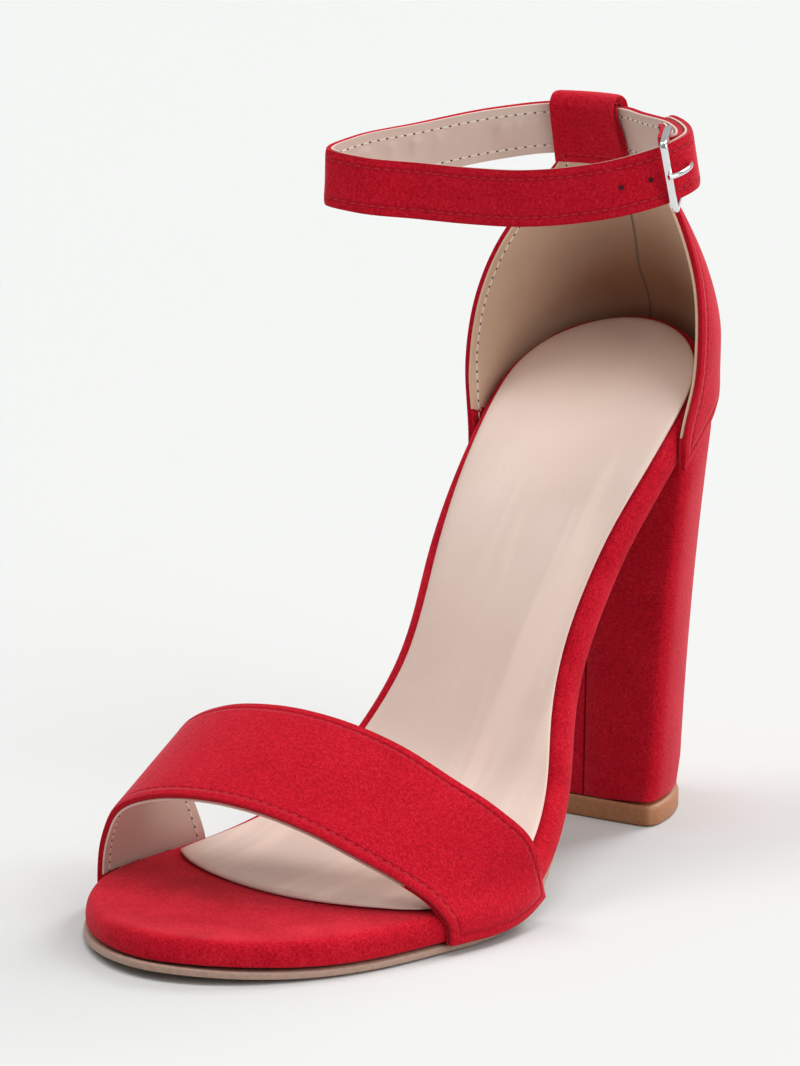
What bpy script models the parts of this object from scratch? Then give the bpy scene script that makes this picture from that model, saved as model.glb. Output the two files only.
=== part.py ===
"""Left open-toe sandal with an ankle strap and a tall block heel.

All sizes are in millimetres and become metres when a mesh is made. The toe points to -Y, the outer (buckle)
side of the foot is +X and up is +Z. While it is worked out, Y is 0 at the back end of the footbed.
"""

import math
from collections import namedtuple

import bmesh
import bpy
import numpy as np

MM = 0.001
GAP = 0.3
PLAN_CENTRE_X = -2.21
PLAN_CENTRE_Y = -97.0
SMOOTH_ANGLE = math.radians(45)

FOOTBED_LENGTH = 240.0
FOOTBED_THICK = 7.0
OUTSOLE_THICK = 1.7
OUTSOLE_END = 193.0
OUTSOLE_LEDGE = 0.1
OUTSOLE_LAST_STEP = 2.0
# Along the shank the outsole is drawn in from the footbed's outline, between two stations, over a run.
Draw = namedtuple("Draw", "start end run inset")
OUTSOLE_SHANK = Draw(74.0, 216.0, 28.0, 2.4)
SOLE_STACK = FOOTBED_THICK + GAP + OUTSOLE_THICK
TOE_ROUND = 43.0
TOE_POWER = 1.9
SEAT_ROUND = 34.0
SOLE_END_STEPS = 10
SOLE_BODY_STEPS = 16
# The seat of the heel: its middle in plan, its first station and how far its slope is carried on behind.
SEAT_MIDDLE = (-0.8, -34.0)
SEAT_START = 150.0
SEAT_BEYOND = 8.0

SOCK_THICK = 1.2
SOCK_MARGIN = 3.6
SOCK_SEAT_MARGIN = 2.1
SOCK_SEAT_RUN = 60.0
SOCK_SHIFT = 0.7
SOCK_FRONT = 41.0
SOCK_FRONT_CENTRE = 2.0
SOCK_FRONT_BOW = 0.0085
SOCK_FRONT_STEPS = 8
SOCK_CORNER_STEP = 1.5
SOCK_CORNER_SHARE = 0.97

STRAP_WALL = 2.0
COUNTER_WALL = 2.0

# Side view of the footbed's top: the slope at each station along it, from the toe.
Slope = namedtuple("Slope", "station degrees")
SOLE_SLOPES = (
    Slope(0, -7),
    Slope(28, 0),
    Slope(62, 0),
    Slope(85, 24),
    Slope(110, 54),
    Slope(135, 57),
    Slope(160, 51),
    Slope(185, 39.5),
    Slope(210, 30.5),
    Slope(240, 20),
)

# Plan of the footbed: the middle line's swing to the outer side, and half the width.
Width = namedtuple("Width", "station centre half")
SOLE_WIDTHS = (
    Width(0, -6.0, 36.5),
    Width(40, -5.4, 40.5),
    Width(70, -0.6, 42.0),
    Width(100, 3.6, 32.5),
    Width(130, 3.3, 23.8),
    Width(160, 1.6, 24.9),
    Width(190, 0.7, 27.1),
    Width(215, -1.6, 27.8),
    Width(240, -4.0, 27.4),
)

# Edge sections of the layers of the sole: how far in from the outline, at what height over the footbed's top.
Level = namedtuple("Level", "inset height")
FOOTBED_EDGE = (
    Level(1.0, -FOOTBED_THICK),
    Level(0.2, -FOOTBED_THICK + 0.8),
    Level(0.0, -FOOTBED_THICK + 2.0),
    Level(0.0, -3.2),
    Level(0.5, -1.5),
    Level(1.6, -0.4),
    Level(3.4, 0.0),
)
OUTSOLE_EDGE = (
    Level(0.6, -FOOTBED_THICK - GAP - OUTSOLE_THICK),
    Level(-OUTSOLE_LEDGE, -FOOTBED_THICK - GAP - OUTSOLE_THICK + 0.5),
    Level(-OUTSOLE_LEDGE, -FOOTBED_THICK - GAP - 0.4),
    Level(0.2, -FOOTBED_THICK - GAP),
)
SOCK_EDGE = (
    Level(0.0, GAP),
    Level(0.0, GAP + 0.4 * SOCK_THICK),
    Level(1.3, GAP + SOCK_THICK),
)

# Toe strap's outer face, from the outer to the inner side: a row for each fold, with its front and rear edge.
Fold = namedtuple("Fold", "front_x front_y front_z rear_x rear_y rear_z")
TOE_STRAP = (
    Fold(37.4, -148.6, 10.2, 43.1, -117.2, 13.5),
    Fold(34.4, -149.9, 13.1, 42.2, -119.6, 20.0),
    Fold(28.5, -152.6, 17.0, 36.6, -125.0, 27.8),
    Fold(19.5, -156.4, 22.0, 27.0, -128.6, 34.0),
    Fold(10.0, -160.5, 27.0, 15.5, -131.5, 40.2),
    Fold(-2.0, -165.0, 31.2, 1.0, -134.8, 44.9),
    Fold(-14.0, -168.8, 32.8, -14.0, -137.8, 46.6),
    Fold(-25.5, -170.2, 31.4, -27.0, -139.6, 45.0),
    Fold(-35.5, -168.8, 27.0, -37.5, -139.2, 40.0),
    Fold(-43.0, -164.6, 18.5, -44.5, -135.0, 30.0),
)
Foot = namedtuple("Foot", "front rear")
TOE_STRAP_OUTER = Foot(49.8, 81.0)
TOE_STRAP_INNER = Foot(37.0, 71.5)
TOE_STRAP_LIFT = 0.2
TOE_STRAP_BEND = -2.8
TOE_STRAP_ROWS = 6
TOE_STRAP_COLUMNS = 45

# Counter, from the seat up: back of the heel, each arm's half width and front end, how far round the arms go.
Cup = namedtuple("Cup", "height back outer outer_front inner inner_front sweep")
COUNTER = (
    Cup(84, 1.9, 28.4, -37.0, 30.0, -40.0, 90),
    Cup(96, 1.7, 28.2, -32.8, 30.2, -38.0, 90),
    Cup(108, 1.7, 28.4, -30.0, 30.5, -37.0, 90),
    Cup(118, -0.1, 28.2, -28.7, 29.5, -36.3, 90),
    Cup(128, -4.7, 27.0, -27.8, 27.0, -34.8, 87),
    Cup(138, -9.7, 24.2, -27.6, 22.8, -32.2, 80),
    Cup(148, -15.6, 18.9, -26.5, 17.0, -28.0, 68),
    Cup(156, -20.7, 11.7, -23.8, 12.6, -24.6, 56),
    Cup(162, -23.7, 7.6, -25.0, 11.0, -25.9, 50),
    Cup(169.4, -26.4, 6.6, -27.5, 10.4, -28.6, 47),
)
COUNTER_POWER = 1.95
COUNTER_BLEND = 16.0
COUNTER_TURNS = 25
COUNTER_SHARES = (0.0, 0.05, 0.1, 0.17, 0.26, 0.36, 0.46, 0.56, 0.66, 0.76, 0.85, 0.93, 1.0)
LOOP_CLEAR = 0.5
LOOP_STEPS = 7
LOOP_FLAP = 13.5
LOOP_FLAP_SHARES = (0.3, 0.65, 1.0)
LOOP_FLARE = 0.12

# Ankle strap's middle line, from the back round the inner side: place and inward lean of its upper edge.
Round = namedtuple("Round", "x y z lean")
ANKLE_STRAP = (
    Round(0.0, -26.8, 163.2, 20),
    Round(-6.3, -27.3, 163.2, 20),
    Round(-11.2, -29.0, 163.1, 19),
    Round(-22.0, -38.9, 161.8, 15),
    Round(-33.0, -55.0, 159.0, 9),
    Round(-40.2, -70.5, 157.0, 5),
    Round(-40.2, -80.3, 155.4, 3),
    Round(-31.2, -81.0, 154.3, 3),
    Round(-18.5, -75.0, 153.2, 4),
    Round(-6.5, -71.8, 152.7, 4),
    Round(5.5, -69.4, 152.9, 4),
    Round(17.0, -65.5, 154.2, 4),
    Round(27.0, -60.6, 156.4, 4),
    Round(33.6, -54.4, 159.0, 5),
    Round(35.0, -46.2, 161.2, 8),
    Round(29.2, -38.8, 162.5, 12),
    Round(20.0, -33.0, 163.0, 16),
    Round(9.0, -28.3, 163.2, 19),
    Round(4.9, -27.1, 163.2, 20),
)
ANKLE_WALL = 1.8
ANKLE_WIDTH = 12.8
ANKLE_STEP = 2.6
LAYER = (ANKLE_WALL + GAP) / 2
BUCKLE_FROM_LOOP = 40.6
TIP_FROM_LOOP = 20.7
TIP_ROUND = 6.0
TIP_BLUNT = 0.9
# Where the strap's ends part from its middle line, from the loop and from the front bar, and over what run.
Part = namedtuple("Part", "start run")
SHORT_END = Part(2.0, 10.0)
LONG_END = Part(30.0, 24.0)
WRAP_STEPS = 8
# The strap's short end, lapped inside itself behind the rear bar: distance back from the bar, and out.
Step = namedtuple("Step", "back out")
LAP = (
    Step(11.0, -3.2),
    Step(8.0, -3.5),
    Step(5.0, -4.2),
)

BUCKLE_LENGTH = 10.4
BUCKLE_HEIGHT = 15.8
BUCKLE_CORNER = 1.2
BUCKLE_CORNER_STEPS = 4
BAR_RADIUS = 0.9
BAR_CHAMFER = 0.35
PRONG_RADIUS = 0.7
ROD_SIDES = 8
BAR_DEPTH = BAR_RADIUS + GAP + ANKLE_WALL / 2
FRONT_BAR_SLACK = 1.15
SLOT_WIDTH = 2.2
SLOT_LENGTH = 6.6
HOLE_LENGTH = 6.0
HOLE_FORWARD = 2.2
# The prong from the rear bar's hook to its rest on the front bar: distance back from the rear bar, and out.
PRONG = (
    Step(-0.6, -0.15),
    Step(-2.5, 1.45),
    Step(-4.2, 3.1),
    Step(-7.0, 5.1),
    Step(-9.6, 6.1),
    Step(-11.0, 6.25),
)
HOOK_START = -40.0
HOOK_END = -230.0
HOOK_STEPS = 9

HEEL_BASE = 5.4
TOP_PIECE_THICK = HEEL_BASE - GAP
TOP_PIECE_CHAMFER = 0.5
HEEL_CORNER = 3.5
HEEL_POWER = 2.0
HEEL_SIDE_POINTS = 15
# Heel block, from the ground up: share of the height, middle, half width, Y of its breast and of its back.
Block = namedtuple("Block", "share centre half front back")
HEEL = (
    Block(0.0, 1.4, 20.6, -37.6, -6.0),
    Block(0.3, 1.1, 22.0, -37.0, -4.4),
    Block(0.65, 0.5, 24.9, -36.0, -1.4),
    Block(1.0, -0.8, 29.8, -35.0, 3.0),
)


def through(knots, values, at):
    """A smooth curve through rows of values, read at one place or several."""
    knots = np.asarray(knots, float)
    values = np.asarray(values, float)
    slopes = np.gradient(values, knots, axis=0)
    i = np.clip(np.searchsorted(knots, at) - 1, 0, len(knots) - 2)
    step = knots[i + 1] - knots[i]
    u = (at - knots[i]) / step
    if values.ndim > 1:
        step = np.asarray(step)[..., None]
        u = np.asarray(u)[..., None]
    start = (2 * u**3 - 3 * u**2 + 1) * values[i] + (u**3 - 2 * u**2 + u) * step * slopes[i]
    end = (3 * u**2 - 2 * u**3) * values[i + 1] + (u**3 - u**2) * step * slopes[i + 1]
    return start + end


def smoothstep(x):
    x = min(max(x, 0.0), 1.0)
    return x * x * (3 - 2 * x)


def sole_path():
    """Stations along the footbed's top with their Y, Z and slope angle."""
    stations = np.arange(0.0, FOOTBED_LENGTH + 1.0)
    degrees = np.interp(stations, [r.station for r in SOLE_SLOPES], [r.degrees for r in SOLE_SLOPES])
    angles = np.radians(degrees)
    middle = (angles[1:] + angles[:-1]) / 2
    y = np.concatenate([[0.0], np.cumsum(np.cos(middle))])
    z = np.concatenate([[0.0], np.cumsum(np.sin(middle))])
    return stations, y - y[-1], z - z.min() + SOLE_STACK, angles


PATH = sole_path()


def on_sole(station, x, height):
    """A point over the footbed's top, at a station along it and a height square to it."""
    stations, ys, zs, angles = PATH
    held = min(max(station, 0.0), FOOTBED_LENGTH)
    angle = np.interp(held, stations, angles)
    y = np.interp(held, stations, ys) + (station - held) * math.cos(angle)
    z = np.interp(held, stations, zs) + (station - held) * math.sin(angle)
    return np.array([x, y - height * math.sin(angle), z + height * math.cos(angle)])


def edge_place(station):
    """The middle line and half width of the footbed at a station."""
    knots = [r.station for r in SOLE_WIDTHS]
    centre = through(knots, [r.centre for r in SOLE_WIDTHS], station)
    half = through(knots, [r.half for r in SOLE_WIDTHS], station)
    toe = min(max((TOE_ROUND - station) / TOE_ROUND, 0.0), 1.0)
    seat = min(max((station - FOOTBED_LENGTH + SEAT_ROUND) / SEAT_ROUND, 0.0), 1.0)
    half *= (1 - toe**TOE_POWER) ** (1 / TOE_POWER) * math.sqrt(1 - seat**2)
    return centre, half


def round_stations():
    """Stations from the toe's tip to the back of the seat, closer together round both ends."""
    turn = np.linspace(0.0, math.pi / 2, SOLE_END_STEPS)
    toe = TOE_ROUND * (1 - np.cos(turn))
    seat = FOOTBED_LENGTH - SEAT_ROUND * (1 - np.sin(turn))
    between = np.linspace(TOE_ROUND, FOOTBED_LENGTH - SEAT_ROUND, SOLE_BODY_STEPS + 2)[1:-1]
    return np.concatenate([toe, between, seat])


# The two sides of an outline, each a list of (station, x) from its front to its back.
Sides = namedtuple("Sides", "outer inner")


def footbed_outline(stations):
    return outline_of([(s, *edge_place(s)) for s in stations])


def outsole_outline(stations):
    """The footbed's outline, drawn in along the shank."""
    places = []
    for s in stations:
        centre, half = edge_place(s)
        begun = smoothstep((s - OUTSOLE_SHANK.start) / OUTSOLE_SHANK.run)
        left = smoothstep((OUTSOLE_SHANK.end - s) / OUTSOLE_SHANK.run)
        places.append((s, centre, half - OUTSOLE_SHANK.inset * begun * left))
    return outline_of(places)


def outline_of(places):
    """The two sides of rows of station, middle and half width."""
    outer = [(s, centre + half) for s, centre, half in places]
    inner = [(s, centre - half) for s, centre, half in places]
    return Sides(outer, inner)


def sock_front(x):
    """The station of the sock's bowed front edge."""
    return SOCK_FRONT + SOCK_FRONT_BOW * (x - SOCK_FRONT_CENTRE) ** 2


def sock_outline():
    """The sock's outline: a bowed front edge, then the footbed's moved in, less so round the seat."""
    outline = footbed_outline(round_stations())
    chains = []
    for chain, wider in zip(offset(outline, -SOCK_MARGIN), offset(outline, -SOCK_SEAT_MARGIN)):
        kept = []
        for near, far in zip(np.array(chain), np.array(wider)):
            s, x = near + smoothstep((near[0] - SEAT_START) / SOCK_SEAT_RUN) * (far - near)
            if s > sock_front(x) + SOCK_CORNER_STEP:
                kept.append((s, x + SOCK_SHIFT))
        corner = kept[0][1]
        bow = []
        for share in np.linspace(0.0, SOCK_CORNER_SHARE, SOCK_FRONT_STEPS):
            x = SOCK_FRONT_CENTRE + share * (corner - SOCK_FRONT_CENTRE)
            bow.append((sock_front(x), x))
        chains.append(bow + kept)
    count = min(len(chain) for chain in chains)
    return Sides(*[resample(chain, count) for chain in chains])


def resample(chain, count):
    """The same open line with another number of points, evenly shared along it."""
    chain = np.asarray(chain, float)
    run = np.concatenate([[0.0], np.cumsum(np.hypot(*np.diff(chain, axis=0).T))])
    even = np.linspace(0.0, run[-1], count)
    return [tuple(point) for point in np.stack([np.interp(even, run, column) for column in chain.T], -1)]


def ring_of(sides):
    """One closed ring, back along the outer side and forward along the inner; shared end points come once."""
    inner = list(sides.inner)
    if np.allclose(sides.outer[-1], inner[-1]):
        inner = inner[:-1]
    if np.allclose(sides.outer[0], inner[0]):
        inner = inner[1:]
    return list(sides.outer) + inner[::-1]


def offset(sides, distance):
    """The outline moved outwards by a distance."""
    ring = np.asarray(ring_of(sides), float)
    along = np.roll(ring, -1, 0) - np.roll(ring, 1, 0)
    along /= np.linalg.norm(along, axis=1)[:, None]
    moved = ring + distance * np.stack([-along[:, 1], along[:, 0]], -1)
    count = len(sides.outer)
    outer = moved[:count]
    inner = [moved[-i] for i in range(1, count - 1)]
    last = moved[count] if len(ring) == 2 * count - 1 else moved[count - 1]
    return Sides([tuple(p) for p in outer], [tuple(moved[0])] + [tuple(p) for p in inner] + [tuple(last)])


def sole_layer(sides, level):
    moved = offset(sides, -level.inset)
    return Sides(*[[on_sole(s, x, level.height) for s, x in chain] for chain in moved])


def new_mesh(name, points, faces):
    mesh = bpy.data.meshes.new(name)
    mesh.from_pydata([tuple(p * MM for p in point) for point in points], [], faces)
    shape = bmesh.new()
    shape.from_mesh(mesh)
    bmesh.ops.recalc_face_normals(shape, faces=shape.faces)
    shape.to_mesh(mesh)
    shape.free()
    mesh.shade_smooth()
    mesh.set_sharp_from_angle(angle=SMOOTH_ANGLE)
    return mesh


def stacked(name, layers):
    """A solid from outlines laid one over another, closed below and above by strips from side to side."""
    rings = [ring_of(sides) for sides in layers]
    count = len(rings[0])
    length = len(layers[0].outer)
    points = [point for ring in rings for point in ring]
    faces = []
    for level in range(len(rings) - 1):
        for i in range(count):
            j = (i + 1) % count
            base = level * count
            faces.append((base + i, base + j, base + count + j, base + count + i))
    for base in (0, (len(rings) - 1) * count):
        for i in range(length - 1):
            strip = [i, i + 1, (count - i - 1) % count, (count - i) % count]
            faces.append([base + k for k in dict.fromkeys(strip)])
    return new_mesh(name, points, faces)


def shell(name, grid, thick, outside=0.5):
    """A wall of even thickness about a grid of points, with a share of it outside, closed round its rim."""
    grid = np.asarray(grid, float)
    across = np.gradient(grid, axis=0)
    along = np.gradient(grid, axis=1)
    normal = np.cross(across, along)
    normal /= np.linalg.norm(normal, axis=2)[:, :, None]
    rows, columns = grid.shape[:2]
    outer = grid + normal * thick * outside
    points = np.concatenate([outer.reshape(-1, 3), (outer - normal * thick).reshape(-1, 3)])
    under = rows * columns
    faces = []
    for r in range(rows - 1):
        for c in range(columns - 1):
            a = r * columns + c
            quad = (a, a + 1, a + columns + 1, a + columns)
            faces.append(quad)
            faces.append(tuple(under + k for k in reversed(quad)))
    rim = [c for c in range(columns)]
    rim += [r * columns + columns - 1 for r in range(1, rows)]
    rim += [(rows - 1) * columns + c for c in range(columns - 2, -1, -1)]
    rim += [r * columns for r in range(rows - 2, 0, -1)]
    for a, b in zip(rim, rim[1:] + rim[:1]):
        faces.append((a, b, under + b, under + a))
    return new_mesh(name, points, faces)


def footbed_mesh():
    sides = footbed_outline(round_stations())
    return stacked("footbed", [sole_layer(sides, level) for level in FOOTBED_EDGE])


def outsole_mesh():
    stations = [s for s in round_stations() if s < OUTSOLE_END - OUTSOLE_LAST_STEP] + [OUTSOLE_END]
    sides = outsole_outline(stations)
    return stacked("outsole", [sole_layer(sides, level) for level in OUTSOLE_EDGE])


def sock_mesh():
    sides = sock_outline()
    return stacked("sock", [sole_layer(sides, level) for level in SOCK_EDGE])


def strap_foot(station, side, height):
    """A point of the toe strap's end, lying along the footbed's side."""
    centre, half = edge_place(station)
    return on_sole(station, centre + side * (half + GAP + STRAP_WALL), height)


def arc_lengths(points):
    return np.concatenate([[0.0], np.cumsum(np.linalg.norm(np.diff(points, axis=0), axis=1))])


def toe_strap_mesh():
    """The band over the toes, its two ends tucked along the footbed's sides."""
    low = -FOOTBED_THICK + TOE_STRAP_LIFT
    heights = (low, (low + TOE_STRAP_BEND) / 2, TOE_STRAP_BEND)
    rows = []
    for share in np.linspace(0.0, 1.0, TOE_STRAP_ROWS):
        outer = TOE_STRAP_OUTER.front + share * (TOE_STRAP_OUTER.rear - TOE_STRAP_OUTER.front)
        inner = TOE_STRAP_INNER.front + share * (TOE_STRAP_INNER.rear - TOE_STRAP_INNER.front)
        line = [strap_foot(outer, 1, height) for height in heights]
        for fold in TOE_STRAP:
            front, rear = np.array(fold[:3]), np.array(fold[3:])
            line.append(front + share * (rear - front))
        line += [strap_foot(inner, -1, height) for height in reversed(heights)]
        run = arc_lengths(np.array(line))
        rows.append(through(run / run[-1], line, np.linspace(0.0, 1.0, TOE_STRAP_COLUMNS)))
    return shell("toe_strap", rows, STRAP_WALL, 0.0)


def underside(y):
    """Height of the footbed's underside at a place along the shoe."""
    stations = np.arange(SEAT_START, FOOTBED_LENGTH + SEAT_BEYOND)
    points = [on_sole(station, 0.0, -FOOTBED_THICK) for station in stations]
    return np.interp(y, [p[1] for p in points], [p[2] for p in points])


def cup_place(height, turn):
    """A point of the counter, from the outer arm's front (turn 1) round the back to the inner arm's (-1)."""
    heights = [row.height for row in COUNTER]
    rows = [row[1:] for row in COUNTER]
    back, outer, outer_front, inner, inner_front, sweep = through(heights, rows, height)
    half, front = (outer, outer_front) if turn > 0 else (inner, inner_front)
    power = 2 / COUNTER_POWER
    sweep = math.radians(min(sweep, 90.0))
    angle = abs(turn) * sweep
    across = (math.sin(angle) / math.sin(sweep)) ** power
    end = max(math.cos(sweep), 0.0) ** power
    deep = (max(math.cos(angle), 0.0) ** power - end) / (1 - end)
    return np.array([math.copysign(half * across, turn), front + (back - front) * deep, height])


def seat_place(toward):
    """Where the counter's foot stands round the footbed, straight out from the seat's middle."""
    middle = np.array(SEAT_MIDDLE)
    sides = offset(footbed_outline(round_stations()), GAP + COUNTER_WALL / 2)
    seat = [(s, x) for s, x in ring_of(sides) if s > SEAT_START]
    ring = np.array([on_sole(s, x, -FOOTBED_THICK)[:2] for s, x in seat]) - middle
    aim = toward - middle
    angles = np.unwrap(np.arctan2(ring[:, 0], ring[:, 1]))
    order = np.argsort(angles)
    radius = np.interp(math.atan2(aim[0], aim[1]), angles[order], np.hypot(*ring.T)[order])
    return middle + aim / np.linalg.norm(aim) * radius


def counter_mesh():
    """The heel's cup, narrowing to a tab that folds over the ankle strap and down inside it."""
    top = COUNTER[-1].height
    tab = COUNTER[-2].height
    fold = (ANKLE_WALL + 2 * LOOP_CLEAR + COUNTER_WALL) / 2
    columns = []
    for turn in np.linspace(1.0, -1.0, COUNTER_TURNS):
        foot = seat_place(cup_place(COUNTER[0].height, turn)[:2])
        low = underside(foot[1])
        column = []
        for share in COUNTER_SHARES:
            point = cup_place(low + share * (tab - low), turn)
            ease = smoothstep((point[2] - low - FOOTBED_THICK / 2) / COUNTER_BLEND)
            point[:2] = foot + ease * (point[:2] - foot)
            column.append(point)
        column.append(cup_place((tab + top) / 2, turn))
        column.append(cup_place(top, turn))
        up = cup_place(top, 0.0) - cup_place(tab, 0.0)
        up /= np.linalg.norm(up)
        inward = np.array([0.0, -up[2], up[1]])
        edge = column[-1]
        for angle in np.linspace(0.0, math.pi, LOOP_STEPS + 1)[1:]:
            column.append(edge + fold * ((1 - math.cos(angle)) * inward + math.sin(angle) * up))
        for down in LOOP_FLAP_SHARES:
            spread = np.array([1 + down * LOOP_FLARE, 1.0, 1.0])
            column.append(edge * spread + 2 * fold * inward - down * LOOP_FLAP * up)
        columns.append(column)
    return shell("counter", columns, COUNTER_WALL)


class AnkleLine:
    """The closed line of the ankle strap, read by the distance from the back round the inner side."""

    def __init__(self):
        rows = np.array(ANKLE_STRAP, float)
        wrapped = np.concatenate([rows[-3:], rows, rows[:4]])
        run = arc_lengths(wrapped[:, :3])
        fine = np.linspace(run[3], run[3 + len(rows)], 481)
        self.rows = through(run, wrapped, fine)
        self.run = arc_lengths(self.rows[:, :3])
        self.length = self.run[-1]
        self.middle = rows[:, :2].mean(axis=0)

    def frame(self, distance):
        """Place, direction, outward normal and upward edge of the band."""
        place, ahead = (self.read(distance + step) for step in (0.0, 0.5))
        behind = self.read(distance - 0.5)
        along = ahead[:3] - behind[:3]
        along /= np.linalg.norm(along)
        out = np.array([along[1], -along[0], 0.0])
        out /= np.linalg.norm(out)
        if out[:2] @ (place[:2] - self.middle) < 0:
            out = -out
        lean = math.radians(place[3])
        up = np.array([0.0, 0.0, math.cos(lean)]) - out * math.sin(lean)
        up -= along * (up @ along)
        up /= np.linalg.norm(up)
        normal = np.cross(up, along)
        normal *= math.copysign(1.0, normal @ out)
        return place[:3], along, normal, up

    def read(self, distance):
        return np.array([np.interp(distance % self.length, self.run, column) for column in self.rows.T])

    def point(self, distance, out, width=0.0):
        place, _, normal, up = self.frame(distance)
        return place + out * normal + width * up

    def beside(self, distance, back, out, width=0.0):
        """A point measured straight from one place of the line, for what doesn't bend with it."""
        place, along, normal, up = self.frame(distance)
        return place + back * along + out * normal + width * up


ANKLE = AnkleLine()
REAR_BAR = ANKLE.length - BUCKLE_FROM_LOOP
FRONT_BAR = REAR_BAR - BUCKLE_LENGTH
REAR_BAR_OUT = -LAYER - BAR_DEPTH
FRONT_BAR_OUT = LAYER + BAR_DEPTH + FRONT_BAR_SLACK


def ankle_strap_row(side):
    """A long edge of the ankle strap (side -1 or 1) or its middle (0), from the lap to the tip."""
    half = side * ANKLE_WIDTH / 2
    row = []
    for lap in LAP:
        row.append(ANKLE.point(REAR_BAR + lap.back, lap.out, half))
    for angle in np.linspace(-math.pi / 2, math.pi / 2, WRAP_STEPS + 1)[:-1]:
        back = -BAR_DEPTH * math.cos(angle)
        row.append(ANKLE.beside(REAR_BAR, back, REAR_BAR_OUT + BAR_DEPTH * math.sin(angle), half))
    tip = 2 * ANKLE.length - TIP_FROM_LOOP
    for distance in np.linspace(REAR_BAR, tip, int((tip - REAR_BAR) / ANKLE_STEP)):
        inner = 1 - smoothstep((distance - ANKLE.length + TIP_FROM_LOOP - SHORT_END.start) / SHORT_END.run)
        outer = smoothstep((distance - ANKLE.length - FRONT_BAR + LONG_END.start) / LONG_END.run)
        near = max(distance - tip + TIP_ROUND, 0.0) / TIP_ROUND
        row.append(ANKLE.point(distance, LAYER * (outer - inner), half * math.sqrt(1 - TIP_BLUNT * near**2)))
    return row


def ankle_strap_mesh():
    return shell("ankle_strap", [ankle_strap_row(side) for side in (-1, 0, 1)], ANKLE_WALL)


def round_section(radius):
    """A rod's section, as pairs of across and deep."""
    turns = (np.arange(ROD_SIDES) + 0.5) * 2 * math.pi / ROD_SIDES
    return [(radius * math.cos(turn), radius * math.sin(turn)) for turn in turns]


def square_section(half, chamfer):
    """A square bar's section with its corners cut, as pairs of across and deep."""
    near = half - chamfer
    quarter = [(half, near), (near, half)]
    half_turn = quarter + [(-deep, across) for across, deep in quarter]
    return half_turn + [(-across, -deep) for across, deep in half_turn]


def bar(name, path, section, closed):
    """A bar of one section along a path, closed on itself or with flat ends."""
    path = np.asarray(path, float)
    count, sides = len(path), len(section)
    if closed:
        along = np.roll(path, -1, 0) - np.roll(path, 1, 0)
    else:
        along = np.gradient(path, axis=0)
    along /= np.linalg.norm(along, axis=1)[:, None]
    _, _, axes = np.linalg.svd(path - path.mean(axis=0))
    flat = axes[2]
    points = []
    for place, direction in zip(path, along):
        side = np.cross(direction, flat)
        side /= np.linalg.norm(side)
        for across, deep in section:
            points.append(place + across * side + deep * np.cross(side, direction))
    faces = []
    for i in range(count if closed else count - 1):
        j = (i + 1) % count
        for k in range(sides):
            m = (k + 1) % sides
            faces.append((i * sides + k, i * sides + m, j * sides + m, j * sides + k))
    if not closed:
        faces.append(list(range(sides)))
        faces.append(list(range((count - 1) * sides, count * sides)))
    return new_mesh(name, points, faces)


def buckle_mesh():
    """The buckle's frame: the front bar over the strap's long end, the rear bar in the short end's fold."""
    rear = ANKLE.beside(REAR_BAR, 0.0, REAR_BAR_OUT)
    up = ANKLE.frame(REAR_BAR)[3]
    along = ANKLE.point(FRONT_BAR, FRONT_BAR_OUT) - rear
    along -= up * (up @ along)
    length = np.linalg.norm(along)
    middle = rear + along / 2
    along /= length
    path = []
    reach, rise = length / 2 - BUCKLE_CORNER, BUCKLE_HEIGHT / 2 - BUCKLE_CORNER
    for turn, (a, b) in enumerate(((1, 1), (-1, 1), (-1, -1), (1, -1))):
        centre = middle + a * reach * along + b * rise * up
        for angle in np.radians(np.linspace(0, 90, BUCKLE_CORNER_STEPS) + 90 * turn):
            path.append(centre + BUCKLE_CORNER * (math.cos(angle) * along + math.sin(angle) * up))
    return bar("buckle_frame", path, square_section(BAR_RADIUS, BAR_CHAMFER), True)


def prong_path():
    """The prong, hooked round the rear bar, up through the strap and resting on the front bar."""
    hook = BAR_RADIUS + GAP + PRONG_RADIUS
    path = []
    for angle in np.radians(np.linspace(HOOK_START, HOOK_END, HOOK_STEPS)):
        path.append(ANKLE.beside(REAR_BAR, -hook * math.cos(angle), REAR_BAR_OUT + hook * math.sin(angle)))
    for step in PRONG:
        path.append(ANKLE.point(REAR_BAR + step.back, step.out))
    return path


def block_at(name, centre, along, normal, up, size):
    """A box with its own three directions, for cutting."""
    points = []
    for a in (-1, 1):
        for b in (-1, 1):
            for c in (-1, 1):
                points.append(centre + (a * size[0] * along + b * size[1] * normal + c * size[2] * up) / 2)
    faces = [(0, 1, 3, 2), (4, 6, 7, 5), (0, 4, 5, 1), (2, 3, 7, 6), (0, 2, 6, 4), (1, 5, 7, 3)]
    return new_mesh(name, points, faces)


def strap_cutters():
    """The slot that the prong's hook turns in and the hole that the prong comes up through."""
    place, along, normal, up = ANKLE.frame(REAR_BAR)
    deep = BAR_DEPTH + ANKLE_WALL - REAR_BAR_OUT
    size = (SLOT_LENGTH, deep, SLOT_WIDTH)
    slot = block_at("prong_slot", place - deep / 2 * normal, along, normal, up, size)
    place, along, normal, up = ANKLE.frame(REAR_BAR - HOLE_FORWARD)
    size = (HOLE_LENGTH, 2 * ANKLE_WALL, SLOT_WIDTH)
    hole = block_at("prong_hole", place + LAYER * normal, along, normal, up, size)
    return slot, hole


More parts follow.
